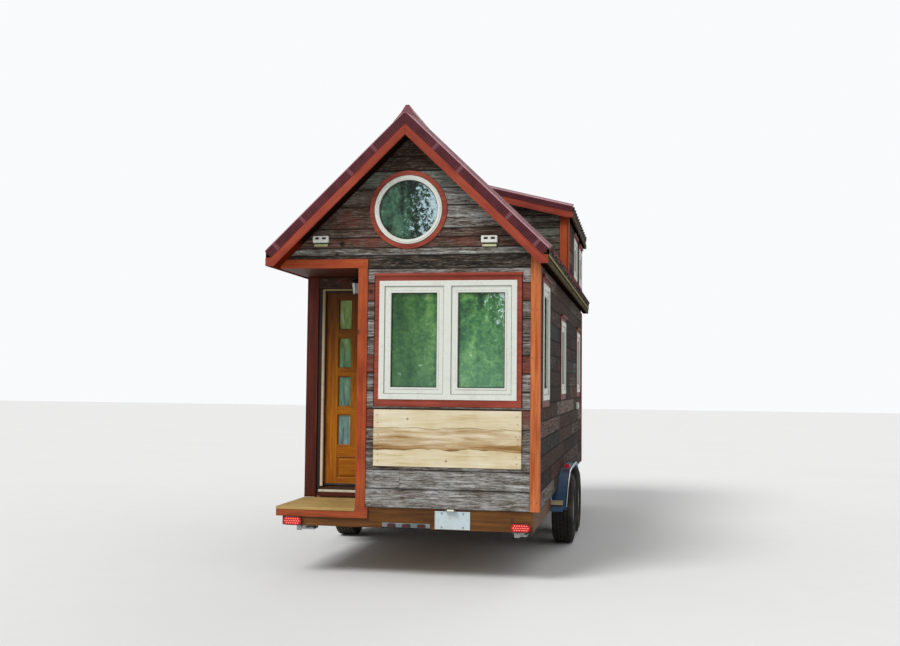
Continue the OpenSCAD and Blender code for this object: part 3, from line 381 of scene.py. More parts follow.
def barn_wood(name, along):
    """Weather picks the grey of a spot. Hue, chips, paint, specks, painted shade at the edges, splits and
    knots go over it.
    """
    made, tree, shader = new_finish(name, 0.88, specular=0.18)
    place, drawn, tone = board_place(tree, along)
    hue = face_number(tree, "hue")
    lines = noise(tree, drawn, 3.2, 9.0, 0.74, 0.15)
    fine = noise(tree, drawn, 15.0, 6.0, 0.75)
    short = tuple(min(a, CHIP_ACROSS) for a in GRAIN_AXES[along])
    chips = noise(tree, stretched(tree, place, short), 15.0, 6.0, 0.75)
    cloud = noise(tree, place, 5.0, 4.0, 0.6, 0.4)
    weather = summed(tree, -1.24, (lines, 1.45), (cloud, 0.5), (tone, 0.62), (fine, 0.85), (chips, 0.6))
    wood = ramp(tree, weather, (0.18, "#120e0c"), (0.36, "#2e241d"), (0.52, "#52473e"),
                (0.66, "#77716b"), (0.82, "#a09f9c"), (1.0, "#c6c6c3"))
    wood = mix(tree, fade(tree, hue, 0.0, 1.0, 0.0, 0.5), wood, mix(tree, lines, "#2b322b", "#8d9a8c"))
    wood = mix(tree, fade(tree, hue, 0.0, -1.0, 0.0, 0.6), wood, mix(tree, lines, "#231510", "#7c5a47"))
    wood = mix(tree, fade(tree, chips, 0.55, 0.64, 0.0, 0.4), wood, "#8f8b84")
    wood = mix(tree, fade(tree, chips, 0.46, 0.36, 0.0, 0.6), wood, "#1d1613")
    left = summed(tree, -0.72, (cloud, 0.9), (face_number(tree, "paint"), 0.55), (lines, 0.5))
    painted = fade(tree, left, 0.22, 0.42)
    wood = mix(tree, times(tree, painted, 0.8), wood, mix(tree, fine, "#4f1d14", "#8c3f2c"))
    aside = add(tree, "VectorMath", operation="ADD", i_0=place, i_1=SPECK_SHIFT).outputs[0]
    specks = noise(tree, aside, 13.0, 4.0, 0.6)
    wood = mix(tree, times(tree, fade(tree, specks, 0.62, 0.7), 0.55), wood, "#5d2320")
    split = absolute(tree, minus(tree, noise(tree, drawn, 1.7, 2.0, 0.5, 0.2), 0.5))
    split = times(tree, fade(tree, split, 0.002, 0.014, 1.0, 0.0), fade(tree, cloud, 0.42, 0.55))
    knot = fade(tree, cells(tree, place, 3.4), 0.05, 0.11, 1.0, 0.0)
    dark = sums(tree, "MAXIMUM", split, knot)
    height = height_above_ground(tree)
    edge = sums(tree, "MINIMUM", minus(tree, height, face_number(tree, "foot")),
                minus(tree, face_number(tree, "head"), height))
    edge = summed(tree, edge, (chips, -EDGE_SHADE))
    # Near its lower and upper edge each board is darkened as painted shade of the joint, ragged by the chips.
    worn = fade(tree, edge, -EDGE_SHADE / 2, EDGE_SHADE / 6, 0.85, 0.0)
    wood = mix(tree, worn, wood, "#17110d")
    wood = mix(tree, times(tree, dark, 0.85), wood, "#0f0b09")
    relief = summed(tree, lines, (fine, 0.5), (dark, -0.7))
    connect(tree, shader, Base_Color=wood, Normal=bump(tree, relief, 4 * MM, 0.75))
    return made


# %% [markdown]
# ## Red stain on the trim
# Corner boards, casings, the porch beam and the barge boards are new softwood under a half clear
# red stain. Grain and knots still show, and the stain is paler where the sun takes it. One function
# makes them all from three colours; the few boards that differ on the photograph are told by place.
# Faces that look down, the casings of the long sides and in part the board beside the door are darkened as
# painted shade.

# %% Stained trim
def stained_wood(name, along, deep, plain, pale, rough=0.55, knots=1.0, knot_scale=2.3, house_trim=False,
                 long_side_shade=None):
    """Stained softwood in three shades. House trim varies by place, partly as painted shade, and on a long
    side the wood is darkened as painted shade.
    """
    made, tree, shader = new_finish(name, rough, coat_rough=0.25, specular=0.22)
    place, drawn, tone = board_place(tree, along)
    lines = noise(tree, drawn, 2.6, 8.0, 0.62, 0.5)
    fine = noise(tree, drawn, 14.0, 4.0, 0.7)
    cloud = noise(tree, place, 3.0, 3.0, 0.55)
    value = summed(tree, -0.16, (lines, 0.75), (cloud, 0.55), (tone, 0.14))
    wood = ramp(tree, value, (0.28, deep), (0.5, plain), (0.78, pale))
    wood = mix(tree, times(tree, fade(tree, fine, 0.42, 0.3), 0.35), wood, deep)
    knot = times(tree, fade(tree, cells(tree, place, knot_scale), 0.05, 0.085, 1.0, 0.0), 0.8 * knots)
    wood = mix(tree, knot, wood, mix(tree, 0.6, deep, "#1d0d07"))
    splash = times(tree, fade(tree, height_above_ground(tree), 0.95, 0.55), cloud)
    wood = mix(tree, times(tree, splash, 0.3), wood, "#6d5038")
    if house_trim:
        wood = trim_by_place(tree, wood, lines)
    # On the long sides the casings are darkened: painted shade.
    if long_side_shade:
        wood = mix(tree, fade(tree, outward(tree), WALL_FACE - 0.001, WALL_FACE, 0.0, 0.65), wood, long_side_shade)
    relief = summed(tree, lines, (fine, 0.4))
    connect(tree, shader, Base_Color=wood, Normal=bump(tree, relief, 1.2 * MM, 0.5))
    return made


def trim_by_place(tree, wood, lines):
    """The right corner is freshly stained. The board beside the door is darker, partly a deeper stain and
    partly painted shade, and what faces down is darkened as painted shade.
    """
    x, y, _ = axes_of(tree, here(tree))
    grain = fade(tree, lines, 0.35, 0.65)
    fresh = times(tree, fade(tree, x, 0.9, 0.95), fade(tree, y, REAR_FACE + 0.03, REAR_FACE + 0.01))
    wood = mix(tree, fresh, wood, mix(tree, grain, "#a84f22", "#cf7a45"))
    # The board beside the door is darker: partly a deeper stain and partly painted shade.
    inside = times(tree, fade(tree, x, -1.04, -1.05), fade(tree, y, REAR_FACE + 0.7, REAR_FACE + 0.75))
    wood = mix(tree, inside, wood, mix(tree, grain, "#3a1206", "#5e1f0c"))
    # Faces that look down are darkened: painted shade.
    below = fade(tree, face_normal(tree)[2], -0.6, -0.9)
    return mix(tree, below, wood, mix(tree, grain, "#300b00", "#521a03"))


RED_STAIN = ("#7a2c16", "#a1441f", "#bb5f31")
BARGE_STAIN = ("#702a1c", "#963c28", "#ae533a")
REAR_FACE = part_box("rear_wall")[0].y
WALL_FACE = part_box("right_wall")[1].x
trim_finish = {a: stained_wood("red_stain_" + a, a, *RED_STAIN, house_trim=True) for a in "xyz"}
barge_finish = stained_wood("barge_stain", "slope", *BARGE_STAIN, rough=0.5)
casing_finish = stained_wood("casing_stain", "x", "#752c20", "#964232", "#ab5843", rough=0.5, knots=0.3,
                              long_side_shade="#472113")
rim_finish = {a: stained_wood("rim_stain_" + a, a, "#3a1f08", "#633a0c", "#8a571f") for a in "xy"}
# The fascias are dark olive, partly their stain and partly painted shade with green reflected light.
fascia_finish = stained_wood("fascia_stain", "y", "#241c06", "#433614", "#625124", rough=0.95)
deck_finish = stained_wood("deck_boards", "x", "#8a6f3a", "#b7985a", "#d0b474", rough=0.75)


def planed_pine():
    """Pale pine with pin knots. A plank whose gold number is one is resinous, most so at its lower edge."""
    made = stained_wood("planed_pine", "x", "#b08f58", "#d6c6a0", "#e8dfc8", rough=0.65, knot_scale=7.0)
    tree, shader, pale = colour_so_far(made)
    streak = noise(tree, stretched(tree, here(tree), (2.0, 2.0, 22.0)), 1.6, 5.0, 0.6, 0.3)
    gold = face_number(tree, "gold")
    foot = fade(tree, height_above_ground(tree), 1.17, 1.10)
    rich = times(tree, gold, fade(tree, summed(tree, streak, (foot, 0.3)), 0.35, 0.7))
    wood = mix(tree, times(tree, rich, 0.85), pale, mix(tree, streak, "#a8772c", "#8a5c1c"))
    seam = times(tree, fade(tree, summed(tree, streak, (foot, 0.35)), 0.72, 0.86), gold)
    connect(tree, shader, Base_Color=mix(tree, times(tree, seam, 0.7), wood, "#5c3a12"))
    return made


pine_finish = planed_pine()
barn_finish = {a: barn_wood("barn_wood_" + a, a) for a in "xy"}
print("woods mixed:", len(bpy.data.materials))

# %% [markdown]
# ## Metal, rubber, glass and plastic
# The roof is enamelled steel in burgundy with dust in its hollows. The trailer is black and zinc
# plated steel. Window frames are white and hardly marked. Clear glass would show an empty room, so the
# panes are painted with a reflection of what they mirror, green and cloudy, darker at the left and in the
# round windows.

# %% Metals, plastics and glass
def coated(name, plain, worn, rough, metal=0.0, coat=0.0, grime="#6b5f50", grime_share=0.25, scale=6.0,
           depth=0.4, specular=0.5):
    """Paint, plating or plastic: two close shades in soft clouds, grime in spots, dust by a face number."""
    made, tree, shader = new_finish(name, rough, metal, coat, 0.15, specular)
    place = here(tree)
    cloud = noise(tree, place, scale, 6.0, 0.62, 0.3)
    speck = noise(tree, place, scale * 9, 3.0, 0.6)
    base = mix(tree, fade(tree, cloud, 0.35, 0.68), plain, worn)
    dirt = times(tree, fade(tree, summed(tree, cloud, (speck, 0.45)), 0.68, 0.95), grime_share)
    base = mix(tree, dirt, base, grime)
    base = mix(tree, times(tree, face_number(tree, "dust"), 0.45), base, "#4f4a38")
    grit = fade(tree, speck, 0.3, 0.8, max(rough - 0.06, 0.02), min(rough + 0.12, 1.0))
    connect(tree, shader, Base_Color=base, Roughness=grit, Normal=bump(tree, cloud, depth * MM, 0.4))
    return made


cap_finish = coated("ridge_enamel", "#7c4047", "#93565b", 0.45, coat=0.1, grime="#a08080", grime_share=0.3)
steel_finish = coated("frame_black", "#1b1c1e", "#2c2b2a", 0.5, grime="#63574a", grime_share=0.6)
zinc_finish = coated("zinc_plate", "#9da2a5", "#b9bcbd", 0.38, 0.85, grime="#7b6c58", grime_share=0.5)
# The blue of the mudguards is a painted reflection of sky.
fender_finish = coated("fender_sheet", "#29527a", "#3a6893", 0.4, 0.15, grime="#4b4a3d", grime_share=0.5)
bright_finish = coated("bright_metal", "#c9ccce", "#dfe1e2", 0.2, 0.95, grime_share=0.15)
wheel_finish = coated("wheel_enamel", "#b2b5b6", "#c6c8c8", 0.35, 0.35, coat=0.2, grime="#5d4c3a",
                      grime_share=0.7)
rubber_finish = coated("tyre_rubber", "#141415", "#232323", 0.82, grime="#5e5140", grime_share=0.75,
                       scale=4.0, specular=0.3)
# The white frames are tinted a little green, partly as painted reflected light.
vinyl_finish = coated("white_frame", "#d9ddd3", "#e4e7df", 0.38, grime="#a7a294", grime_share=0.35)
plastic_finish = coated("white_plastic", "#e4e4dd", "#efeeea", 0.4, grime="#9a9684", grime_share=0.4)
tread_finish = coated("step_tread", "#b9a67c", "#cfc09b", 0.55, grime="#5f5140", grime_share=0.5)
gasket_finish = coated("gasket", "#1c1e1d", "#2d2f2d", 0.7, grime_share=0.3)
iron_finish = coated("lantern_iron", "#1d2021", "#303334", 0.45, 0.4, grime="#50483e", grime_share=0.4)
brass_finish = coated("old_brass", "#8b7040", "#a98a52", 0.32, 0.85, grime="#3d3120", grime_share=0.5)
plate_finish = coated("plate_enamel", "#b9ccd2", "#cddadd", 0.35, coat=0.3, grime="#948a78", grime_share=0.4)
nail_finish = coated("nail_steel", "#4e4740", "#6f665c", 0.55, 0.5, grime="#6b3a22", grime_share=0.8,
                     scale=40.0)
screw_finish = coated("roof_screw", "#6d3440", "#88505a", 0.4, 0.3, grime_share=0.4, scale=40.0)


def window_pane(name):
    """Glass painted with a reflection: green over dark upright streaks, teal low down, sky at the right."""
    made, tree, shader = new_finish(name, 0.06, coat=0.3, coat_rough=0.02, specular=0.35)
    place = here(tree)
    x, _, z = axes_of(tree, place)
    # Every colour of the pane is painted: a painted reflection.
    crowns = noise(tree, stretched(tree, place, (1.0, 1.0, 0.55)), 3.4, 6.0, 0.62, 0.7)
    leaves = noise(tree, place, 26.0, 6.0, 0.75, 0.4)
    trunks = noise(tree, stretched(tree, place, (9.0, 9.0, 0.9)), 1.3, 3.0, 0.5)
    value = summed(tree, -0.28, (crowns, 0.75), (leaves, 0.62), (trunks, 0.25))
    seen = ramp(tree, value, (0.26, "#0f2417"), (0.4, "#234a28"), (0.52, "#3f753f"), (0.64, "#6c9f52"),
                (0.78, "#b0c98b"))
    low = fade(tree, z, 2.45, 1.6)
    seen = mix(tree, times(tree, low, 0.55), seen, mix(tree, value, "#1d4a3c", "#8cc0a0"))
    at_left = fade(tree, x, 0.40, 0.05, 0.0, 0.62)
    seen = mix(tree, at_left, seen, mix(tree, value, "#0b2210", "#2f5a2b"))
    round_part = fade(tree, z, 2.85, 2.9)
    gloom = mix(tree, fade(tree, value, 0.46, 0.68), "#040d0a", "#4f7a66")
    seen = mix(tree, times(tree, round_part, 0.85), seen, gloom)
    right = fade(tree, sums(tree, "ADD", x, times(tree, round_part, 0.62)), 0.5, 0.9)
    right = times(tree, right, fade(tree, outward(tree), 1.05, 1.08, 1.0, 0.3))
    high = fade(tree, z, 1.95, 2.5)
    # Pale patches of painted sky reflection, most at the upper right.
    sky_reflection = summed(tree, leaves, (times(tree, right, high), 0.26), (crowns, 0.25), (round_part, 0.012))
    seen = mix(tree, fade(tree, sky_reflection, 0.78, 0.86), seen, mix(tree, round_part, "#c9dde2", "#b4cfd8"))
    connect(tree, shader, Base_Color=seen)
    return made


def door_pane(name):
    """The small panes in the porch, painted with a reflection: leaf green at the top, blue grey at the
    bottom, in upright streaks.
    """
    made, tree, shader = new_finish(name, 0.08, coat=0.3, coat_rough=0.02, specular=0.35)
    streaks = noise(tree, stretched(tree, here(tree), (9.0, 9.0, 1.4)), 3.0, 6.0, 0.65, 0.4)
    level = fade(tree, height_above_ground(tree), 1.1, 2.4)
    # The colours and the pale streaks are a painted reflection.
    seen = ramp(tree, level, (0.0, "#5f8488"), (0.3, "#6a8f7c"), (0.55, "#4c7d5a"), (0.8, "#7f9c4a"))
    seen = mix(tree, fade(tree, streaks, 0.5, 0.3), seen, "#1c3a2c")
    connect(tree, shader, Base_Color=mix(tree, fade(tree, streaks, 0.55, 0.75), seen, "#b3cdb8"))
    return made


glass_finish = window_pane("forest_glass")
door_glass_finish = door_pane("porch_glass")


def lens(name, code, glow, unlit=None):
    """A ribbed lens that glows. Nearer the middle of the house than the unlit distance it is dark."""
    made, tree, shader = new_finish(name, 0.2, coat=0.3, coat_rough=0.05, specular=0.3)
    ribs = cells(tree, here(tree), 220.0)
    base = mix(tree, times(tree, fade(tree, ribs, 0.1, 0.6), 0.6), code, "#5d0a0a")
    if unlit:
        base = mix(tree, fade(tree, outward(tree), unlit, unlit - 0.01), base, "#3d0a0e")
    connect(tree, shader, Base_Color=base, Emission_Color=base)
    shader.inputs["Emission Strength"].default_value = glow
    return made


lens_finish = lens("red_lens", "#c41418", 0.3, unlit=0.85)
led_finish = lens("lit_diode", "#ff7a6a", 1.6)
frosted_finish = coated("frosted_glass", "#aab1a8", "#c6ccc3", 0.25, coat=0.6, grime="#8e8a72",
                        grime_share=0.4)
lip_finish = coated("yellowed_plastic", "#b9bd86", "#cbcc9c", 0.45, grime="#6e6a4a", grime_share=0.5)
warm_finish = coated("plate_lamp_glass", "#efe6cb", "#fbf6e4", 0.2, coat=0.4, grime="#a59a78",
                     grime_share=0.3)
print("materials:", len(bpy.data.materials))

# %% [markdown]
# ## Roof metal
# Roof sheets and trims are enamelled steel. The rake trim is pressed with fine cross ridges half a
# millimetre deep, and its folded edges are painted pink as a highlight. Such ridges could be modelled, but at
# that depth a bump does it. The material finds the fold from the roof planes, so it follows every rake.

# %% Rake metal and roof sheets
RIDGE_PITCH = 0.021
FACE_RISE, DORMER_FACE_RISE = 0.107, 0.071
BAND_DEPTH = 0.089
LAP_X = (0.30, 0.51, 0.93, 1.166)
LAP_LINES = 0.010
FOLD_HIGHLIGHT = "#b58189"


def sheet_line(point, normal, rise):
    """Distance of a plane from the origin: the deck plane through a point, raised by so much."""
    return (point + UP * rise).dot(normal)


def off_middle(tree, value, pitch):
    """In steps of a pitch: nought in the middle of every step, a half at its ends."""
    step = sums(tree, "FRACT", sums(tree, "DIVIDE", value, pitch))
    return absolute(tree, minus(tree, step, 0.5))


def rake_metal():
    """Upright faces are dark and tops paler, as painted shade and light. Paler cross ridges and pink folds
    and back edge are painted highlights, a dark line at the foot of the face is a painted shadow, and laps
    are pink.
    """
    made, tree, shader = new_finish("rake_metal", 0.5, coat=0.05, specular=0.2)
    place = here(tree)
    down_slope, _, level = axes_of(tree, levelled(tree, place))
    y = axes_of(tree, place)[1]
    fold_at = fade(tree, on_dormer(tree, y), 0.0, 1.0, sheet_line(MAIN_POINT, MAIN_NORMAL, FACE_RISE),
                   sheet_line(DORMER_POINT, DORMER_NORMAL, DORMER_FACE_RISE))
    under_fold = minus(tree, fold_at, level)
    face = fade(tree, absolute(tree, face_normal(tree)[1]), 0.85, 0.95)
    ridge = fade(tree, off_middle(tree, down_slope, RIDGE_PITCH), 0.0, 0.17, 1.0, 0.0)
    cloud = noise(tree, place, 7.0, 5.0, 0.65, 0.4)
    streak = noise(tree, place, 60.0, 4.0, 0.7)
    dark = mix(tree, fade(tree, cloud, 0.35, 0.7), "#3a1017", "#5a212a")
    # The cross ridges are drawn paler: a painted highlight.
    dark = mix(tree, times(tree, ridge, 0.5), dark, "#82474f")
    # A dark line at the foot of the face is a painted shadow.
    rim = fade(tree, under_fold, 0.080, 0.087)
    dark = mix(tree, times(tree, rim, 0.6), dark, "#2a0d10")
    # Tops are paler than upright faces: painted light on the tops, painted shade on the faces.
    lit_topside = mix(tree, fade(tree, cloud, 0.35, 0.7), "#68303a", "#874b55")
    metal = mix(tree, face, lit_topside, dark)
    for far in LAP_X:
        lap = far / math.cos(MAIN_PITCH) - (MAIN_POINT.z + MAIN_POINT.x * math.tan(MAIN_PITCH)
                                            + FACE_RISE) * math.sin(MAIN_PITCH)
        off = absolute(tree, minus(tree, down_slope, lap))
        lines = fade(tree, off_middle(tree, off, LAP_LINES), 0.1, 0.3, 1.0, 0.0)
        metal = mix(tree, times(tree, fade(tree, off, 0.016, 0.014), lines), metal, "#96606a")
    # A pink line along the fold is a painted highlight.
    edge = fade(tree, absolute(tree, under_fold), 0.0065, 0.0045)
    metal = mix(tree, times(tree, edge, fade(tree, streak, 0.1, 0.35)), metal, FOLD_HIGHLIGHT)
    # A pink line at the back edge is a painted highlight.
    back = fade(tree, y, CAD_REAR + BAND_DEPTH - 0.008, CAD_REAR + BAND_DEPTH - 0.006)
    back = times(tree, back, fade(tree, y, CAD_REAR + 0.15, CAD_REAR + 0.14))
    metal = mix(tree, times(tree, back, 0.7), metal, "#99656d")
    relief = summed(tree, cloud, (ridge, 0.6))
    connect(tree, shader, Base_Color=metal, Normal=bump(tree, relief, 0.6 * MM, 0.6))
    return made


def roof_sheets():
    """Burgundy sheet washed by rain. Its cut ends at the eaves are dark with painted glints, and a drip edge
    is pale, partly its metal and partly a painted highlight.
    """
    made, tree, shader = new_finish("burgundy_enamel", 0.5, specular=0.15)
    place = here(tree)
    x, _, z = axes_of(tree, place)
    wash = noise(tree, stretched(tree, levelled(tree, place), (0.12, 1.0, 1.0)), 14.0, 6.0, 0.65)
    cloud = noise(tree, place, 4.0, 5.0, 0.6, 0.4)
    metal = mix(tree, fade(tree, cloud, 0.3, 0.7), "#5b242b", "#75383f")
    metal = mix(tree, times(tree, fade(tree, wash, 0.5, 0.75), 0.4), metal, "#8f7468")
    far = absolute(tree, x)
    drip = times(tree, fade(tree, far, 1.2373, 1.2377), fade(tree, far, 1.2417, 1.2413))
    drip = times(tree, drip, fade(tree, z, 2.760, 2.758))
    cut = times(tree, fade(tree, face_normal(tree)[2], 0.3, 0.2), fade(tree, far, 1.19, 1.20))
    # Light flecks on the dark cut ends are painted glints.
    glint = fade(tree, noise(tree, place, 34.0, 2.0, 0.6), 0.58, 0.64, 0.0, 0.8)
    metal = mix(tree, cut, metal, mix(tree, glint, "#120f0b", "#a3a393"))
    # The pale drip edge is partly its metal and partly a painted highlight.
    metal = mix(tree, drip, metal, "#8f8453")
    connect(tree, shader, Base_Color=metal, Roughness=fade(tree, cut, 0.0, 1.0, 0.45, 1.0),
            Normal=bump(tree, wash, 0.4 * MM, 0.4))
    return made


CAD_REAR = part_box("rake_flashing")[0].y
rake_finish = rake_metal()
roof_finish = roof_sheets()
print("roof metals mixed")

# %% [markdown]
# ## Varnish on the door
# The door is framed: its stiles stand, and the rails between them lie. One grain for the whole
# leaf would look printed, so the material turns the grain where a rail is and draws a fine joint.
# The frame, the sill and the polished lamp bar are told apart by place in the same way.

# %% Door varnish
LEAF_LOW, LEAF_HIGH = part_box("door_leaf")
LEAF_MIDDLE, LEAF_HALF = -0.710, (LEAF_HIGH.x - LEAF_LOW.x) / 2
RAIL_HALF = 0.139
LITE_LOW, LITE_PITCH, LITE_H, LITES_TOP = 1.077, 0.365, 0.288, 2.460


def door_varnish():
    """Varnished wood: upright grain on the stiles, level grain on the rails, a fine joint between, and
    painted shade towards the top.
    """
    made, tree, shader = new_finish("door_varnish", 0.38, coat=0.06, coat_rough=0.2, specular=0.12)
    place = here(tree)
    x, _, z = axes_of(tree, place)
    aside = absolute(tree, minus(tree, x, LEAF_MIDDLE))
    up = sums(tree, "DIVIDE", minus(tree, z, LITE_LOW), LITE_PITCH)
    between = fade(tree, sums(tree, "FRACT", up), LITE_H / LITE_PITCH - 0.001, LITE_H / LITE_PITCH)
    outer = sums(tree, "MAXIMUM", fade(tree, z, LITE_LOW, LITE_LOW - 0.001),
                 fade(tree, z, LITES_TOP, LITES_TOP + 0.001))
    height = sums(tree, "MAXIMUM", between, outer)
    rail = times(tree, height, fade(tree, aside, RAIL_HALF + 0.0003, RAIL_HALF - 0.0003))
    axes = add(tree, "Mix", data_type="VECTOR", i_0=rail, i_4=(GRAIN_ACROSS, GRAIN_ACROSS, 1),
               i_5=(1, GRAIN_ACROSS, GRAIN_ACROSS + 5)).outputs[1]
    drawn = stretched(tree, place, axes)
    lines = noise(tree, drawn, 2.6, 8.0, 0.62, 0.5)
    fine = noise(tree, drawn, 14.0, 4.0, 0.7)
    wood = ramp(tree, summed(tree, lines, (fine, 0.3)), (0.42, "#793d02"), (0.62, "#a35c05"),
                (0.85, "#bc7810"))
    joint = absolute(tree, minus(tree, aside, RAIL_HALF))
    joint = times(tree, fade(tree, joint, 0.0006, 0.0014, 1.0, 0.0), height)
    wood = mix(tree, times(tree, joint, 0.7), wood, "#4a2404")
    wear = fade(tree, z, 1.0, 0.7)
    wood = mix(tree, times(tree, wear, 0.25), wood, "#6b3a10")
    # Darker towards the top: painted shade of the porch.
    wood = mix(tree, fade(tree, z, 1.3, 2.6, 0.0, 0.85), wood, "#341a08")
    connect(tree, shader, Base_Color=wood, Normal=bump(tree, lines, 0.8 * MM, 0.4))
    return made


def door_case():
    """The frame is near black, partly dark stain and partly painted shade, but for one cream bead beside the
    leaf and over it.
    """
    made, tree, shader = new_finish("door_case", 0.5, specular=0.25)
    place = here(tree)
    x, _, z = axes_of(tree, place)
    aside = minus(tree, absolute(tree, minus(tree, x, LEAF_MIDDLE)), LEAF_HALF)
    over = minus(tree, z, LEAF_HIGH.z)
    upright = times(tree, band(tree, aside, 0.002, 0.027), fade(tree, over, 0.040, 0.039))
    across = times(tree, band(tree, over, 0.013, 0.040), fade(tree, aside, 0.028, 0.027))
    grime = noise(tree, place, 9.0, 5.0, 0.6)
    # The cream darkens upwards, partly with dust and partly as painted shade.
    cream = mix(tree, fade(tree, z, 0.8, 2.5), "#e2cbb6", "#98865c")
    cream = mix(tree, fade(tree, grime, 0.5, 0.75, 0.0, 0.4), cream, "#7d6a50")
    # The near black of the frame is partly dark stain and partly painted shade.
    dark = mix(tree, grime, "#1d0c07", "#3d1b10")
    connect(tree, shader, Base_Color=mix(tree, sums(tree, "MAXIMUM", upright, across), dark, cream))
    return made


def sill_wood():
    """A dark threshold, partly painted shade, with one pale worn nosing."""
    made, tree, shader = new_finish("sill_wood", 0.6, specular=0.25)
    grime = noise(tree, here(tree), 22.0, 5.0, 0.65)
    height = height_above_ground(tree)
    # The threshold above the nosing is dark, partly as painted shade.
    dark = mix(tree, fade(tree, height, 0.650, 0.664), mix(tree, grime, "#3a150b", "#63291a"),
               mix(tree, grime, "#231409", "#4b2f19"))
    pale = mix(tree, fade(tree, grime, 0.45, 0.75, 0.0, 0.5), "#d6ccb8", "#8b7a60")
    connect(tree, shader, Base_Color=mix(tree, band(tree, height, 0.640, 0.660), dark, pale))
    return made


def lamp_bar_metal():
    """Polished metal with dark rolled edges: a painted reflection of the ground there."""
    made = coated("polished_bar", "#6d7375", "#969b9d", 0.22, 0.9, grime_share=0.3)
    tree, shader, pale = colour_so_far(made)
    low, high = (corner.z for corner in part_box("lamp_bar"))
    flank = band(tree, height_above_ground(tree), low + 0.010, high - 0.010)
    # Outside the middle band the rolled edges are dark: a painted reflection of the ground.
    connect(tree, shader, Base_Color=mix(tree, flank, "#1f2122", pale))
    return made


leaf_finish = door_varnish()
bar_finish = lamp_bar_metal()
frame_finish = door_case()
sill_finish = sill_wood()
print("door varnish mixed")

# %% [markdown]
# ## Two-sided walls and boarded ceilings
# A wall has a dark sheathing outside, behind the boards, and pale panelling inside, which shows
# when the door is open. One solid carries both, so the material chooses by place: what lies within
# the rooms is panelling. Floors and ceilings show tongue and groove boards, and the ceiling is red
# only in the porch: under the eaves and in the rooms it is painted nearly black as shade.

# %% Inside and outside
INNER_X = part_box("front_gable")[1].x - 0.005
INNER_Y = (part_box("rear_gable")[1].y - 0.005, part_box("front_gable")[0].y + 0.005)
BAY_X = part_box("porch_side_wall")[0].x
ENTRY_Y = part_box("entry_header")[0].y
PANEL_W = 0.115


def panelling(tree, pale, deep, across):
    """Boards with a dark joint at every board width, as a colour and a height."""
    place = here(tree)
    step = sums(tree, "FRACT", sums(tree, "DIVIDE", axes_of(tree, place)[across], PANEL_W))
    edge = sums(tree, "MINIMUM", step, minus(tree, 1.0, step))
    joint = fade(tree, edge, 0.0, 0.045, 1.0, 0.0)
    grain = noise(tree, stretched(tree, place, GRAIN_AXES["y"]), 2.4)
    wood = mix(tree, grain, pale, deep)
    return mix(tree, times(tree, joint, 0.7), wood, "#2b1d12"), joint


def two_sided(name, inner_x):
    """Panelling within the rooms, sheathing outside them. Inner X parts the room from the porch."""
    made, tree, shader = new_finish(name, 0.7)
    place = here(tree)
    x, y, _ = axes_of(tree, place)
    within = fade(tree, absolute(tree, x), INNER_X + 0.004, INNER_X + 0.006, 1.0, 0.0)
    for low, high in ((INNER_Y[0], INNER_Y[0] + 0.002), (INNER_Y[1] + 0.002, INNER_Y[1])):
        within = times(tree, within, fade(tree, y, low, high))
    if inner_x is not None:
        past_door = fade(tree, y, ENTRY_Y + 0.06, ENTRY_Y + 0.062)
        past_bay = fade(tree, x, inner_x, inner_x + 0.002)
        within = times(tree, within, sums(tree, "MAXIMUM", past_door, past_bay))
    inside, joint = panelling(tree, "#d9c29a", "#c4a577", 2)
    outside = mix(tree, noise(tree, place, 20.0), "#120e0b", "#241b15")
    connect(tree, shader, Base_Color=mix(tree, within, outside, inside),
            Normal=bump(tree, joint, -2 * MM, 0.5))
    return made


def boarded(name, pale, deep, rough=0.6, specular=0.5, porch_only=False):
    """Boards along Y. With porch only they are painted nearly black as shade outside the porch and above its
    ceiling.
    """
    made, tree, shader = new_finish(name, rough, specular=specular)
    wood, joint = panelling(tree, pale, deep, 0)
    if porch_only:
        x, y, z = axes_of(tree, here(tree))
        porch = times(tree, fade(tree, x, BAY_X + 0.002, BAY_X), fade(tree, y, ENTRY_Y + 0.002, ENTRY_Y))
        porch = times(tree, porch, fade(tree, z, 2.91, 2.86))
        # Outside the porch the boards are nearly black: painted shade.
        wood = mix(tree, porch, "#1b110c", wood)
    connect(tree, shader, Base_Color=wood, Normal=bump(tree, joint, -2 * MM, 0.5))
    return made


wall_finish = two_sided("sheathing_and_panels", None)
porch_wall_finish = two_sided("porch_sheathing_and_panels", BAY_X + 0.06)
ceiling_finish = boarded("ceiling_boards", "#74260f", "#45150a", rough=0.9, specular=0.0, porch_only=True)
floor_finish = boarded("floor_boards", "#a57a4c", "#7e5a35")
print("rooms reach x", round(INNER_X, 3), "y", [round(v, 3) for v in INNER_Y])

# %% [markdown]
# ## Finish the solids
# Most solids already have the right shape and only need a finish and eased edges. A real board has no
# knife edge, so a live bevel rounds each one by a millimetre or two. The solids come as loose
# triangles, so a weld and a planar clean-up go before the bevel. The meshes themselves stay as they are.

# %% Finishes for the solids
SAME_POINT = 0.02 * MM


def ease(node, width):
    """Rounds the edges of a solid with live modifiers."""
    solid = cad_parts[node]
    weld = solid.modifiers.new("weld", "WELD")
    weld.merge_threshold = SAME_POINT
    flat = solid.modifiers.new("flat", "DECIMATE")
    flat.decimate_type = "DISSOLVE"
    flat.angle_limit = math.radians(0.5)
    round_off = solid.modifiers.new("ease", "BEVEL")
    round_off.width = width
    round_off.segments = 2
    round_off.limit_method = "ANGLE"
    round_off.angle_limit = math.radians(35)
    round_off.use_clamp_overlap = True


def paint(finish, *nodes, eased=0.0):
    """Gives solids a material, and eased edges where a width is given."""
    for node in nodes:
        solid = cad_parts[node]
        solid.data.materials.clear()
        solid.data.materials.append(finish)
        if eased:
            ease(node, eased)


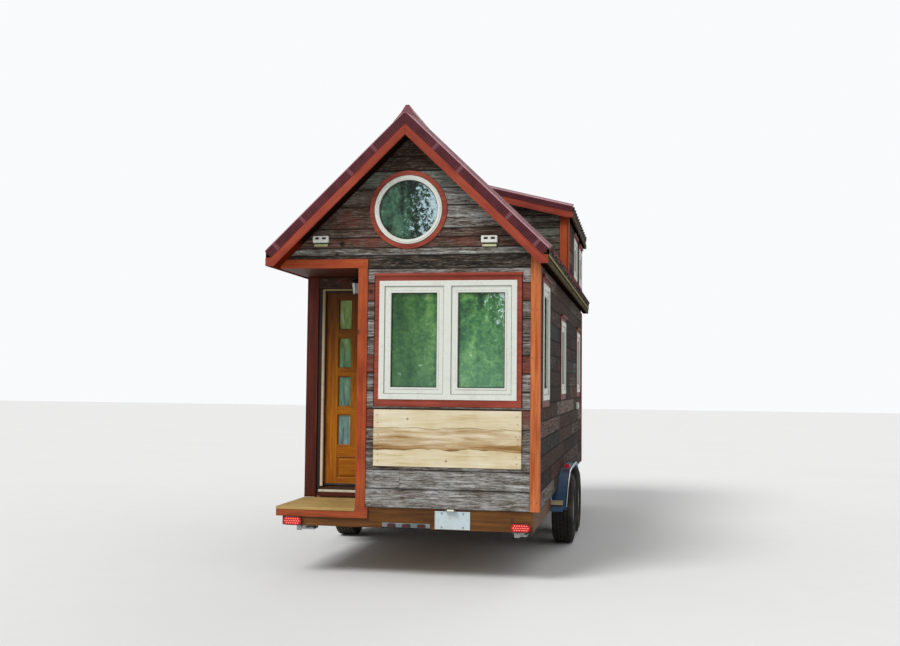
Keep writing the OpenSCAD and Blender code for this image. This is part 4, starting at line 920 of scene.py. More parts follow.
paint(wall_finish, "rear_wall", "rear_gable", "left_wall", "right_wall", "front_wall", "front_gable",
      "dormer_walls", "dormer_cheeks")
paint(porch_wall_finish, "porch_side_wall", "entry_header")
paint(ceiling_finish, "roof_decks", "dormer_decks")
paint(floor_finish, "floor")
paint(roof_finish, "roof_metal", "dormer_metal", eased=1.5 * MM)
paint(rake_finish, "rake_flashing", eased=1.5 * MM)
paint(cap_finish, "ridge_cap", eased=1.5 * MM)
paint(barge_finish, "barge_boards", eased=2 * MM)
paint(fascia_finish, "eave_fascias", eased=2 * MM)
paint(trim_finish["z"], "corner_boards", eased=2 * MM)
paint(trim_finish["x"], "porch_header", "porch_fascia", eased=2 * MM)
paint(casing_finish, "window_casings", eased=1.5 * MM)
paint(rim_finish["x"], "rim_boards", eased=3 * MM)
paint(deck_finish, "porch_deck", eased=3 * MM)
paint(sill_finish, "door_sill", eased=3 * MM)
paint(vinyl_finish, "rear_window", "side_windows", "round_windows", eased=3 * MM)
paint(frame_finish, "door_frame", eased=3 * MM)
paint(glass_finish, "window_glass")
paint(door_glass_finish, "door_glass")
paint(leaf_finish, "door_leaf", eased=2 * MM)
paint(brass_finish, "door_hardware", eased=1 * MM)
paint(steel_finish, "chassis_frame", "axles", eased=2 * MM)
paint(zinc_finish, "coupler", "tongue_jack", "stabilizer_jacks", eased=1.5 * MM)
paint(fender_finish, "fender_left", "fender_right", eased=1.5 * MM)
paint(pine_finish, "sign_board", eased=3 * MM)
paint(lens_finish, "tail_lamps", eased=2 * MM)
paint(bar_finish, "lamp_bar", eased=1.5 * MM)
paint(plate_finish, "number_plate", eased=1 * MM)
paint(plastic_finish, "vents", eased=3 * MM)
paint(iron_finish, "wall_lantern", eased=1 * MM)
for where in WHEELS:
    paint(rubber_finish, "tyre_" + where)
    paint(wheel_finish, "rim_" + where, eased=1.5 * MM)
bare = [n for n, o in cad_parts.items() if not o.data.materials or not o.data.materials[0].use_nodes]
print("solids without a finish:", bare)

# %% [markdown]
# ## Hands for modelling
# Every new piece starts as a primitive and is shaped in edit mode. These helpers are the hands: take
# one object alone, add a block between two corners, add a rod between two points, select faces or
# edges by place, move them, hollow a block to a frame, apply a modifier, cut with a plane, cut with
# other solids, and join copies.

# %% Modelling helpers
def only(thing):
    """Makes one object the selected and active one."""
    bpy.ops.object.select_all(action="DESELECT")
    thing.select_set(True)
    bpy.context.view_layer.objects.active = thing
    return thing


def settle(name):
    """Names the new active object and puts its place, turn and scale into its mesh."""
    thing = only(bpy.context.active_object)
    thing.name = name
    bpy.ops.object.transform_apply(location=True, rotation=True, scale=True)
    return thing


def block(name, low, high):
    """A box between two opposite corners."""
    low, high = Vector(low), Vector(high)
    bpy.ops.object.select_all(action="DESELECT")
    bpy.ops.mesh.primitive_cube_add(size=1, location=(low + high) / 2, scale=high - low)
    return settle(name)


def rod(name, start, end, radius, sides=16):
    """A cylinder between two points."""
    start, end = Vector(start), Vector(end)
    bpy.ops.object.select_all(action="DESELECT")
    bpy.ops.mesh.primitive_cylinder_add(vertices=sides, radius=radius, depth=(end - start).length,
                                        location=(start + end) / 2,
                                        rotation=(end - start).to_track_quat("Z", "Y").to_euler())
    return settle(name)


def pick(thing, kind, test):
    """Enters edit mode with only the vertices, edges or faces selected that the test accepts."""
    only(thing)
    bpy.ops.object.mode_set(mode="EDIT")
    bpy.ops.mesh.select_mode(type=kind)
    bpy.ops.mesh.select_all(action="DESELECT")
    bpy.ops.object.mode_set(mode="OBJECT")
    mesh = thing.data
    if kind == "FACE":
        for face in mesh.polygons:
            face.select = bool(test(face.center, face.normal))
    elif kind == "EDGE":
        for edge in mesh.edges:
            first, last = (mesh.vertices[v].co for v in edge.vertices)
            edge.select = bool(test((first + last) / 2, last - first))
    else:
        for vertex in mesh.vertices:
            vertex.select = bool(test(vertex.co, vertex.normal))
    bpy.ops.object.mode_set(mode="EDIT")


def done(thing):
    """Leaves edit mode."""
    bpy.ops.object.mode_set(mode="OBJECT")
    return thing


def shift(thing, test, move):
    """Moves the vertices that the test accepts."""
    pick(thing, "VERT", test)
    bpy.ops.transform.translate(value=move)
    return done(thing)


def hollow(thing, axis, width):
    """Makes a frame of so much width: the two faces across an axis are inset and bridged."""
    pick(thing, "FACE", lambda place, normal: abs(normal[axis]) > 0.9)
    bpy.ops.mesh.inset(thickness=width)
    bpy.ops.mesh.bridge_edge_loops()
    return done(thing)


def modify(thing, kind, **settings):
    """Adds a modifier and applies it at once."""
    only(thing)
    step = thing.modifiers.new(kind.lower(), kind)
    for name, value in settings.items():
        setattr(step, name, value)
    bpy.ops.object.modifier_apply(modifier=step.name)
    return thing


RIGHT_ANGLES = 60


def soften(thing, width, segments=2, angle=32):
    """Bevels the edges that turn by more than an angle in degrees."""
    return modify(thing, "BEVEL", width=width, segments=segments, limit_method="ANGLE",
                  angle_limit=math.radians(angle))


def clip(thing, point, normal):
    """Cuts away what lies beyond a plane and closes the cut."""
    pick(thing, "VERT", lambda place, facing: True)
    bpy.ops.mesh.bisect(plane_co=point, plane_no=normal, use_fill=True, clear_outer=True)
    return done(thing)


def join(name, things):
    """Joins objects into the first of them."""
    bpy.ops.object.select_all(action="DESELECT")
    for thing in things:
        thing.select_set(True)
    bpy.context.view_layer.objects.active = things[0]
    if len(things) > 1:
        bpy.ops.object.join()
    things[0].name = name
    return things[0]


def number(thing, **numbers):
    """Writes numbers on all faces of a piece, for its material to read."""
    for name, value in numbers.items():
        layer = thing.data.attributes.new(name, "FLOAT", "FACE")
        layer.data.foreach_set("value", [value] * len(thing.data.polygons))
    return thing


def copied(model, matrix, **numbers):
    """A copy with its own mesh, moved by a matrix, with numbers on its faces."""
    made = model.copy()
    made.data = model.data.copy()
    made.data.transform(matrix)
    scene.collection.objects.link(made)
    return number(made, **numbers)


def drop(*things):
    """Removes models and cutters that have served."""
    for thing in things:
        bpy.data.objects.remove(thing)


def carve(thing, cutters):
    """Takes the cutters out of a piece."""
    cutter = join("cutter", cutters)
    modify(thing, "BOOLEAN", operation="DIFFERENCE", object=cutter, solver="MANIFOLD")
    drop(cutter)
    return thing


def dress(thing, finish, body="house", replaces=()):
    """Gives a finished piece its material and its body, and hides the solids that it replaces."""
    thing.data.materials.clear()
    thing.data.materials.append(finish)
    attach(thing, body)
    if replaces:
        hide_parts(*replaces)
    return thing


def triangles(thing):
    """How many triangles a piece has."""
    return sum(len(face.vertices) - 2 for face in thing.data.polygons)


print("modelling helpers ready")

# %% [markdown]
# ## One old board
# The cladding is made of reclaimed boards, no two alike. One plain block per board would look like
# a fence of rulers, and a displacement map would need far more faces. Four model boards are enough:
# each is divided along its length, its edges are worn off by a bevel, and its points are pushed about
# by a millimetre. Every board of the house is a copy of one of them, stretched to its place.

# %% Model boards
BOARD_LENGTH, BOARD_T, BOARD_H = 1.5, 0.012, 0.155


def worn_board(seed):
    """One board that lies along X with its back on the wall plane, uneven by its seed."""
    board = block("worn_board", (0, -BOARD_T, 0), (BOARD_LENGTH, 0, BOARD_H))
    pick(board, "EDGE", lambda place, way: abs(way.x) > 0.5)
    bpy.ops.mesh.subdivide(number_cuts=8)
    done(board)
    modify(board, "BEVEL", width=1.6 * MM, segments=1, limit_method="ANGLE", angle_limit=math.radians(60))
    pick(board, "VERT", lambda place, facing: 0.01 < place.x < BOARD_LENGTH - 0.01)
    bpy.ops.transform.vertex_random(offset=1.3 * MM, uniform=1.0, normal=0.0, seed=seed)
    return done(board)


model_boards = [worn_board(seed) for seed in (3, 8, 21, 34)]
print("one board has", triangles(model_boards[0]), "triangles")

# %% [markdown]
# ## Walls to clad
# Each wall is described by where it starts, seen from outside at its left end, how far it is turned,
# and where its courses of boards lie. The courses of the porch end are measured in the photograph,
# with their tone: silver near the ground, nearly black over the window, brown in the gable.

# %% Walls
BODY_LOW, BODY_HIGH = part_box("right_wall")
WALL_X = BODY_HIGH.x
REAR_Y, FRONT_Y = BODY_LOW.y, BODY_HIGH.y
SIDING_Z = BODY_LOW.z
COURSE_PITCH = 0.1555
BEAM_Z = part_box("porch_header")[0].z
HEADER_TOP = BEAM_Z + 0.079
quarter = math.pi / 2


def wall_matrix(origin, turn):
    """Coordinates of a wall: X runs along it seen from outside, Y into it, and Z up."""
    return Matrix.Translation(origin) @ Matrix.Rotation(turn, 4, "Z")


REAR = wall_matrix((-WALL_X, REAR_Y, 0), 0)
RIGHT = wall_matrix((WALL_X, REAR_Y, 0), quarter)
FRONT = wall_matrix((WALL_X, FRONT_Y, 0), 2 * quarter)
LEFT = wall_matrix((-WALL_X, FRONT_Y, 0), -quarter)
PORCH_SIDE = wall_matrix((BAY_X, ENTRY_Y, 0), -quarter)
ENTRY = wall_matrix((-WALL_X, ENTRY_Y, 0), 0)
CHEEKS = wall_matrix((-WALL_X, DORMER_START, 0), 0)
HOUSE_LONG, HOUSE_WIDE = FRONT_Y - REAR_Y, 2 * WALL_X


def courses(low, high, tone=(0.0, 0.6), paint=(0.0, 0.35), hue=(-0.5, 0.4)):
    """Evenly spaced courses between two heights, with limits for the numbers of their boards."""
    count = max(1, round((high - low) / COURSE_PITCH))
    step = (high - low) / count
    return [(low + i * step, low + (i + 1) * step, tone, paint, hue) for i in range(count)]


def row(low, high, tone, paint=0.0, hue=0.0):
    """One measured course whose boards differ little."""
    return (low, high, (tone - 0.07, tone + 0.07), (paint - 0.1, paint + 0.1), (hue - 0.15, hue + 0.15))


rear_rows = [row(0.600, 0.763, 0.40), row(0.763, 0.925, 0.46), row(0.925, 1.10, 0.34),
             row(1.10, 1.28, 0.3), row(1.28, 1.452, 0.28, 0.75), row(1.452, 1.60, 0.4, 0.1),
             row(1.60, 1.757, 0.3, 0.2), row(1.757, 1.913, 0.26, 0.9), row(1.913, 2.069, 0.2),
             row(2.069, 2.225, 0.3, 0.3), row(2.225, 2.38, 0.2, 0.1), row(2.38, 2.535, 0.2, 0.9),
             row(2.535, 2.664, 0.42, 0.0, -0.3), row(2.664, 2.782, -0.1, 0.1, 0.1),
             row(2.782, 2.847, 0.3, 0.05), row(2.847, 2.937, 0.05, 0.45, -0.8),
             row(2.937, 3.015, 0.1, 0.2, -0.7)]
gable_left = [row(3.015, 3.21, 0.06, 0.35, -0.8), row(3.21, 3.364, 0.06, 0.1, -0.6),
              row(3.364, 3.519, 0.2, 0.0, 0.8), row(3.519, 3.648, -0.16, 0.0, -0.3),
              row(3.648, 3.80, -0.16, 0.0, -0.3)]
gable_right = [row(3.015, 3.21, 0.32, 0.15, -0.1), row(3.21, 3.364, 0.36, 0.05, 0.2),
               row(3.364, 3.519, 0.3, 0.0, 0.8), row(3.519, 3.648, -0.12, 0.0, -0.3),
               row(3.648, 3.80, -0.16, 0.0, -0.3)]
print(f"walls {HOUSE_LONG:.3f} by {HOUSE_WIDE:.3f} and {len(rear_rows)} courses at the porch end")

# %% [markdown]
# ## Laying the boards
# A course is laid from one end to the other in random lengths, with a butt joint between two boards
# and a gap of three millimetres to the course below. Then the roof slopes cut the boards, by bisect,
# and the windows, corner boards and other trim are taken out by a boolean with simple boxes.

# %% Laying and cutting
COURSE_GAP = 3 * MM
BOARD_LENGTHS, LAST_BOARD = (1.0, 2.6), 0.45
TRIM_GAP, CUT_DEPTH = 2 * MM, 0.06
BESIDE, BELOW = 1.3, 0.5
shades = random.Random(5)


def lay(wall, start, end, rows):
    """Boards of all courses between two distances along a wall."""
    laid = []
    for low, high, tone, paint, hue in rows:
        along = start
        while along < end - 0.01:
            reach = along + shades.uniform(*BOARD_LENGTHS)
            if end - reach < LAST_BOARD:
                reach = end
            scale = ((reach - along - MM) / BOARD_LENGTH, shades.uniform(0.8, 1.12),
                     (high - low - COURSE_GAP) / BOARD_H)
            place = wall @ Matrix.Translation((along, 0, low)) @ Matrix.Diagonal((*scale, 1))
            laid.append(copied(shades.choice(model_boards), place, tone=shades.uniform(*tone),
                               paint=shades.uniform(*paint), hue=shades.uniform(*hue), foot=low, head=high))
            along = reach
    return laid


def solids(node):
    """The boxes of the connected solids of a node."""
    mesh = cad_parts[node].data
    places = [tuple(round(c, 5) for c in v.co) for v in mesh.vertices]
    group = {place: place for place in places}

    def root(place):
        """The place that stands for all places joined to this one."""
        while group[place] != place:
            group[place] = group[group[place]]
            place = group[place]
        return place

    for face in mesh.polygons:
        first = root(places[face.vertices[0]])
        for corner in face.vertices[1:]:
            group[root(places[corner])] = first
    boxes = {}
    for place in group:
        boxes.setdefault(root(place), []).append(place)
    return [(Vector(np.min(p, axis=0)), Vector(np.max(p, axis=0))) for p in boxes.values()]


def around(node):
    """The box of each separate solid of a node, grown by the gap that boards keep to trim."""
    gap = Vector((TRIM_GAP, TRIM_GAP, TRIM_GAP))
    return [(low - gap, high + gap) for low, high in solids(node)]


def casing_boxes(axis, plane):
    """Boxes of the casings that stand on one wall plane, made to reach through the boards."""
    made = []
    for low, high in around("window_casings"):
        if abs((low[axis] + high[axis]) / 2 - plane) < CUT_DEPTH:
            low[axis], high[axis] = plane - CUT_DEPTH, plane + CUT_DEPTH
            made.append((low, high))
    return made


def blocks(boxes):
    """Blocks to cut with, from pairs of corners."""
    return [block("cutter", low, high) for low, high in boxes]


ROUND_R, ROUND_SIDES = 0.345, 96
ROUND_Z = (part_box("round_windows")[0].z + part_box("round_windows")[1].z) / 2


def round_cutter(y):
    """A cylinder through the boards of a gable, as wide as the round casing."""
    return rod("cutter", (0, y - CUT_DEPTH, ROUND_Z), (0, y + CUT_DEPTH, ROUND_Z), ROUND_R, ROUND_SIDES)


MAIN_UNDER = (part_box("rear_gable")[1].z - TRIM_GAP, MAIN_PITCH)
DORMER_UNDER = (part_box("front_gable")[1].z - TRIM_GAP, DORMER_PITCH)


def clip_under(thing, plane):
    """Cuts boards along both slopes of a roof, given its height over the middle and its pitch."""
    apex, pitch = plane
    for side in (-1, 1):
        clip(thing, (0, 0, apex), (side * math.sin(pitch), 0, math.cos(pitch)))
    return thing


def is_square(box):
    """True for the boxes of the round windows: high up, and as wide as they are tall."""
    low, high = box
    return abs((high.x - low.x) - (high.z - low.z)) < 0.02 and low.z > 2.7


rear_boards = lay(REAR, 0, HOUSE_WIDE, rear_rows) + lay(REAR, 0, WALL_X, gable_left)
rear_boards += lay(REAR, WALL_X, HOUSE_WIDE, gable_right)
rear_siding = clip_under(join("siding_rear", rear_boards), MAIN_UNDER)
rear_cutters = [b for b in casing_boxes(1, REAR_Y) if not is_square(b)]
rear_cutters += around("sign_board")
behind, before = REAR_Y + 0.05, REAR_Y - 0.05
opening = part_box("porch_header")[1].x + TRIM_GAP
rear_cutters += [((-BESIDE, before, BELOW), (opening, behind, HEADER_TOP)),
                 ((WALL_X - 0.064, before, BELOW), (BESIDE, behind, 2.80))]
carve(rear_siding, blocks(rear_cutters) + [round_cutter(REAR_Y)])
dress(rear_siding, barn_finish["x"])
print("porch end clad:", triangles(rear_siding), "triangles")

# %% [markdown]
# ## The long sides, the hitch end and the dormer cheeks
# The same boards go round the house. On the long sides the boards stop at the corner boards, leave
# the wheel arch and the windows free, and start again above the porch roof on the dormer wall. The
# cheeks of the dormer are greyer and greener than the rest.

# %% The other walls
LOW_ROW, TOP_ROW = SIDING_Z, BEAM_Z + 0.030
DORMER_FOOT = 2.960
DORMER_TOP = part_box("dormer_walls")[1].z
SIDE_SOFFIT = 3.610
ARCH_MIDDLE = -0.693
ARCH_R, ARCH_HALF, ARCH_TOP = 1.154, 0.300, 0.785
ARC_R = 1.150
SIDE_TRIM, END_TRIM = 0.0815, 0.0715
PORCH_TOP = 2.670


def arch_cutter():
    """The outline of a mudguard as a solid through a side wall: two arcs with a flat between."""
    low_z = ARCH_TOP - ARC_R
    arch = rod("cutter", (-BESIDE, ARCH_MIDDLE, low_z), (BESIDE, ARCH_MIDDLE, low_z), ARCH_R, 128)
    for way in (-1, 1):
        shift(arch, lambda place, facing: (place.y - ARCH_MIDDLE) * way > MM, (0, way * ARCH_HALF, 0))
    return arch


def side_wall(name, wall, side, low_end, high_end):
    """One long side: courses below the eaves, courses on the dormer, cut round arch and windows."""
    # Low tones darken the long sides, partly as painted shade.
    low_rows = courses(LOW_ROW, TOP_ROW, tone=(-1.05, 0.3), paint=(0.0, 0.5), hue=(-0.8, 0.5))
    boards = lay(wall, low_end, high_end, low_rows)
    reach = (DORMER_START - REAR_Y, HOUSE_LONG - SIDE_TRIM)
    if side < 0:
        reach = (SIDE_TRIM, FRONT_Y - DORMER_START)
    # The dormer walls are laid darker too, partly as painted shade.
    boards += lay(wall, *reach, courses(DORMER_FOOT, SIDE_SOFFIT, tone=(-0.7, 0.0), hue=(-0.4, 0.6)))
    cladding = join(name, boards)
    gap = block("cutter", (side * (WALL_X - 0.1), DORMER_START - 0.05, DORMER_FOOT - 0.2),
                (side * (WALL_X + 0.1), DORMER_START + 0.002, SIDE_SOFFIT + 0.1))
    carve(cladding, blocks(casing_boxes(0, side * WALL_X)) + [arch_cutter(), gap])
    return dress(cladding, barn_finish["y"])


right_siding = side_wall("siding_right", RIGHT, 1, SIDE_TRIM, HOUSE_LONG - SIDE_TRIM)
left_siding = side_wall("siding_left", LEFT, -1, SIDE_TRIM, FRONT_Y - ENTRY_Y - SIDE_TRIM)

front_rows = courses(LOW_ROW, DORMER_TOP + 0.35, tone=(-0.1, 0.4))
front_boards = lay(FRONT, END_TRIM, HOUSE_WIDE - END_TRIM, front_rows)
front_siding = clip_under(join("siding_front", front_boards), DORMER_UNDER)
front_cutters = blocks(b for b in casing_boxes(1, FRONT_Y) if not is_square(b))
carve(front_siding, front_cutters + [round_cutter(FRONT_Y)])
dress(front_siding, barn_finish["x"])
print("sides and hitch end clad:", [triangles(s) for s in (right_siding, left_siding, front_siding)])

# %% [markdown]
# The cheeks are cut along the main roof by the same bisect, this time from below. The porch has boards
# on the side wall of the bay, and one short row over the door.

# %% Cheeks, porch and doorway boards
RIB_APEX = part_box("rake_flashing")[1].z - 0.025
CHEEK_HEIGHTS = (3.0, 3.08, 3.16, 3.24, 3.322, 3.405, 3.499, 3.57, 3.65, 3.74, 3.83, 3.93)
CHEEK_TRIM = 1.0485
cheek_rows = [(low, high, (-0.25, 0.15), (0.0, 0.3), (0.0, 0.9))
              for low, high in zip(CHEEK_HEIGHTS, CHEEK_HEIGHTS[1:])]
cheeks = []
for side in (-1, 1):
    ends = sorted((WALL_X, WALL_X + side * CHEEK_TRIM))
    cheek = clip_under(join("cheek", lay(CHEEKS, *ends, cheek_rows)), DORMER_UNDER)
    cheeks.append(clip(cheek, (0, 0, RIB_APEX), (-side * math.sin(MAIN_PITCH), 0, -math.cos(MAIN_PITCH))))
cheek_siding = dress(join("siding_cheeks", cheeks), barn_finish["x"])

BAY_REACH = ENTRY_Y - REAR_Y - SIDE_TRIM
porch_rows = courses(LOW_ROW, PORCH_TOP, tone=(-0.2, 0.2), paint=(0.2, 0.6))
porch_boards = lay(PORCH_SIDE, 0.02, BAY_REACH, porch_rows)
porch_siding = dress(join("siding_porch", porch_boards), barn_finish["y"])
DOOR_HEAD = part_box("entry_header")[0].z
head_row = [row(DOOR_HEAD, PORCH_TOP, -0.3, 0.4, -0.7)]
head_boards = lay(ENTRY, WALL_X - 1.043, WALL_X + BAY_X - 0.002, head_row)
head_siding = dress(join("siding_doorway", head_boards), barn_finish["x"])
drop(*model_boards)
print("cheeks, porch and doorway:", [triangles(s) for s in (cheek_siding, porch_siding, head_siding)])

# %% [markdown]
# ## Nails
# Every board is nailed to the studs, two nails a board, and rain has drawn their heads out a little.
# One head is modelled: a short cylinder whose top is inset and lifted to a dome. A ray cast towards
# the wall finds where each head must sit, and says nothing where a window or trim takes the board's place.

# %% Nails in the boards
bpy.ops.mesh.primitive_cylinder_add(vertices=8, radius=4.2 * MM, depth=2 * MM, location=(0, 0, 1 * MM))
nail_model = settle("nail_model")
pick(nail_model, "FACE", lambda place, normal: normal.z > 0.9)
bpy.ops.mesh.inset(thickness=2 * MM)
bpy.ops.transform.translate(value=(0, 0, 1.2 * MM))
done(nail_model)
STUD, FIRST_STUD = 0.406, 0.12
NAIL_SHARES = (0.2, 0.8)
REACH = 0.06
UPRIGHT = Matrix.Rotation(quarter, 4, "X")


def spot(wall, place):
    """The matrix that sets a fixing with its foot at a place, looking out of a wall."""
    return Matrix.Translation(place) @ wall.to_3x3().to_4x4() @ UPRIGHT


def outermost(thing, wall, along, height):
    """Where a ray from outside first meets a piece in front of a wall, as a list of none or one."""
    start = wall @ Vector((along, -REACH, height))
    way = wall.to_3x3() @ Vector((0, 1, 0))
    found, place, _, _ = thing.ray_cast(start, way, distance=REACH + 0.004)
    return [spot(wall, place)] if found else []


def fixings(name, model, spots):
    """One joined piece with a copy of the model at every spot."""
    return join(name, [copied(model, matrix) for matrix in spots])


def nail_rows(thing, wall, length, rows):
    """Two nails a board on every stud."""
    made = []
    for low, high, *_ in rows:
        for share in NAIL_SHARES:
            along = FIRST_STUD
            while along < length:
                made += outermost(thing, wall, along + shades.uniform(-4, 4) * MM, low + share * (high - low))
                along += STUD
    return made


bpy.context.view_layer.update()
side_rows = courses(LOW_ROW, TOP_ROW) + courses(DORMER_FOOT, SIDE_SOFFIT)
nails = nail_rows(rear_siding, REAR, HOUSE_WIDE, rear_rows + gable_right)
nails += nail_rows(right_siding, RIGHT, HOUSE_LONG, side_rows)
nails += nail_rows(left_siding, LEFT, HOUSE_LONG, side_rows)
nails += nail_rows(front_siding, FRONT, HOUSE_WIDE, front_rows)
nails += nail_rows(cheek_siding, CHEEKS, HOUSE_WIDE, cheek_rows)
nails += nail_rows(porch_siding, PORCH_SIDE, BAY_REACH, porch_rows)
siding_nails = dress(fixings("siding_nails", nail_model, nails), nail_finish)
print(len(nails), "nails in the cladding,", triangles(siding_nails), "triangles")

# %% [markdown]
# ## Sash lines, glazing beads and gaskets
# The windows are plain white frames with a stepped sash. What makes them read as windows are thin
# things: a dark joint round each sash, a small bead that holds the glass, and the black gasket. Each
# is a block whose two faces are inset and bridged into a frame, drawn from the box of its pane.

# %% Window details
ROUND_PANE, ROUND_BEAD, ROUND_FRAME = 0.262, 0.286, 0.3035


def pane_wall(low, high):
    """The thin axis of a pane, the way out of the house, and the wall plane in front of it."""
    axis = 0 if high.x - low.x < high.y - low.y else 1
    side = 1 if (low[axis] + high[axis]) > 0 else -1
    outer = high[axis] if side > 0 else low[axis]
    return axis, side, outer + side * 8 * MM


def square_ring(name, pane, grow, width, near, far):
    """A frame round a pane, so much larger, so wide, between two distances in front of the wall."""
    low, high = (v.copy() for v in pane)
    axis, side, wall = pane_wall(low, high)
    for i in {0, 1, 2} - {axis}:
        low[i] -= grow
        high[i] += grow
    low[axis], high[axis] = sorted((wall + side * near, wall + side * far))
    return hollow(block(name, low, high), axis, width)


def round_ring(name, y_wall, radius, width, near, far):
    """A ring of so much radius and width, between two distances in front of a gable."""
    side = 1 if y_wall > 0 else -1
    ends = [(0, y_wall + side * out, ROUND_Z) for out in (near, far)]
    return hollow(rod(name, *ends, radius, ROUND_SIDES), 1, width)


panes = [p for p in solids("window_glass") if not (is_square(p) and p[1].x - p[0].x > 0.4)]
beads, gaskets = [], []
for pane in panes:
    gaskets.append(square_ring("gasket", pane, 0.058, 4 * MM, 12 * MM, 15 * MM))
    gaskets.append(square_ring("gasket", pane, 0.0, 7 * MM, -8 * MM, -1 * MM))
    # This thin dark ring between sash and bead is a painted shadow of the step there.
    gaskets.append(square_ring("gasket", pane, 0.0185, 3 * MM, 12 * MM, 14 * MM))
    beads.append(soften(square_ring("bead", pane, 0.015, 15 * MM, 12 * MM, 19 * MM), 3 * MM, 2))
for y_wall in (REAR_Y, FRONT_Y):
    gaskets.append(round_ring("gasket", y_wall, ROUND_PANE, 6 * MM, -8 * MM, 2 * MM))
    gaskets.append(round_ring("gasket", y_wall, ROUND_FRAME, 4 * MM, 0.0, 23 * MM))
    beads.append(soften(round_ring("bead", y_wall, ROUND_BEAD, 12 * MM, 24 * MM, 31 * MM), 3 * MM, 2))
bead_piece = dress(join("glazing_beads", beads), vinyl_finish)
gasket_piece = dress(join("window_gaskets_and_step_shadows", gaskets), gasket_finish)
print(len(panes), "square panes,", triangles(bead_piece) + triangles(gasket_piece), "triangles")

# %% [markdown]
# ## The bare sign
# Under the window hang three planed pine planks with natural edges. Their outlines could be drawn
# point by point, but a cloud texture bends them for less work: each plank is a block divided along
# its length, and both planks at a seam follow the same cloud.

# %% Sign planks
SIGN_LOW, SIGN_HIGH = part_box("sign_board")
SEAMS = (SIGN_LOW.z, 1.100, 1.280, SIGN_HIGH.z)
waves = bpy.data.textures.new("waves", "CLOUDS")
waves.noise_scale = 0.16
planks = []
for low_z, high_z in zip(SEAMS, SEAMS[1:]):
    plank = block("plank", (SIGN_LOW.x, SIGN_LOW.y, low_z + MM), (SIGN_HIGH.x, SIGN_HIGH.y, high_z - MM))
    pick(plank, "EDGE", lambda place, way: abs(way.x) > 0.5)
    bpy.ops.mesh.subdivide(number_cuts=36)
    done(plank)
    pick(plank, "VERT", lambda place, facing: SIGN_LOW.z + 0.01 < place.z < SIGN_HIGH.z - 0.01)
    bpy.ops.object.vertex_group_assign_new()
    done(plank)
    modify(plank, "DISPLACE", texture=waves, texture_coords="LOCAL", direction="Z", strength=0.045,
           mid_level=0.5, vertex_group=plank.vertex_groups[0].name)
    plank.vertex_groups.clear()
    soften(plank, 3.5 * MM, 2, 50)
    planks.append(number(plank, tone=chance.uniform(0.3, 0.7), gold=float(low_z == SEAMS[1])))
sign_piece = dress(join("sign_planks", planks), pine_finish, replaces=("sign_board",))
sign_nails = []
for low_z, high_z in zip(SEAMS, SEAMS[1:]):
    for along in (SIGN_LOW.x + 0.04, SIGN_HIGH.x - 0.04):
        for share in (0.3, 0.7):
            place = (along + chance.uniform(-0.01, 0.01), SIGN_LOW.y, low_z + share * (high_z - low_z))
            sign_nails.append(spot(REAR, place))
dress(fixings("sign_nails", nail_model, sign_nails), nail_finish)
print("sign planks:", triangles(sign_piece), "triangles")

# %% [markdown]
# ## Nails in the trim
# Corner boards and the porch beam are fixed with plain steel nails. The lines on which they sit are
# written down as distances along a wall, and the same ray cast as before finds the wood.

# %% Trim nails
REAR_LINES = (0.026, 0.074, HOUSE_WIDE - 0.049, HOUSE_WIDE - 0.006, WALL_X - 0.415, WALL_X - 0.375)
SIDE_LINES = (0.02, 0.06, HOUSE_LONG - 0.06, HOUSE_LONG - 0.02)
NAILS_A_LINE = 6
trim_nails = []
corner_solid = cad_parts["corner_boards"]
porch_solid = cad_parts["porch_header"]
corner_lines = [(REAR, along) for along in REAR_LINES]
corner_lines += [(wall, along) for wall in (RIGHT, LEFT) for along in SIDE_LINES]
for wall, along in corner_lines:
    for step in range(NAILS_A_LINE):
        trim_nails += outermost(corner_solid, wall, along, SIDING_Z + 0.08 + step * STUD)
for step in range(NAILS_A_LINE):
    trim_nails += outermost(porch_solid, REAR, 0.1 + step * 0.13, BEAM_Z + 0.04)
dress(fixings("trim_nails", nail_model, trim_nails), nail_finish)
drop(nail_model)
print("nails in the trim:", len(trim_nails))

# %% [markdown]
# ## Gable vents
# Two small hooded vents blow stale air out of the loft. Each is a rounded white box with two dark
# slots near its top, a dark throat, and under it a narrower lip that has gone yellow. The box is a
# block with two blocks taken out by a boolean; the throat and the lip are blocks of their own. A
# smaller inlet with a flap sits on the right wall.

# %% Vents
VENT_W, VENT_D, LIP_W, LIP_D = 0.142, 0.040, 0.122, 0.034
SLOT_W, SLOT_APART, THROAT_D = 0.036, 0.062, 0.022
VENTS_AT = ((-0.785, 2.865), (0.716, 2.846))
INLET = (Vector((WALL_X, 1.345, 1.350)), Vector((WALL_X + 0.040, 1.425, 1.440)))


def before_wall(name, x_ends, out, z_ends, back=0.0):
    """A block in front of the porch gable between two distances from it."""
    return block(name, (x_ends[0], REAR_Y - out, z_ends[0]), (x_ends[1], REAR_Y - back, z_ends[1]))


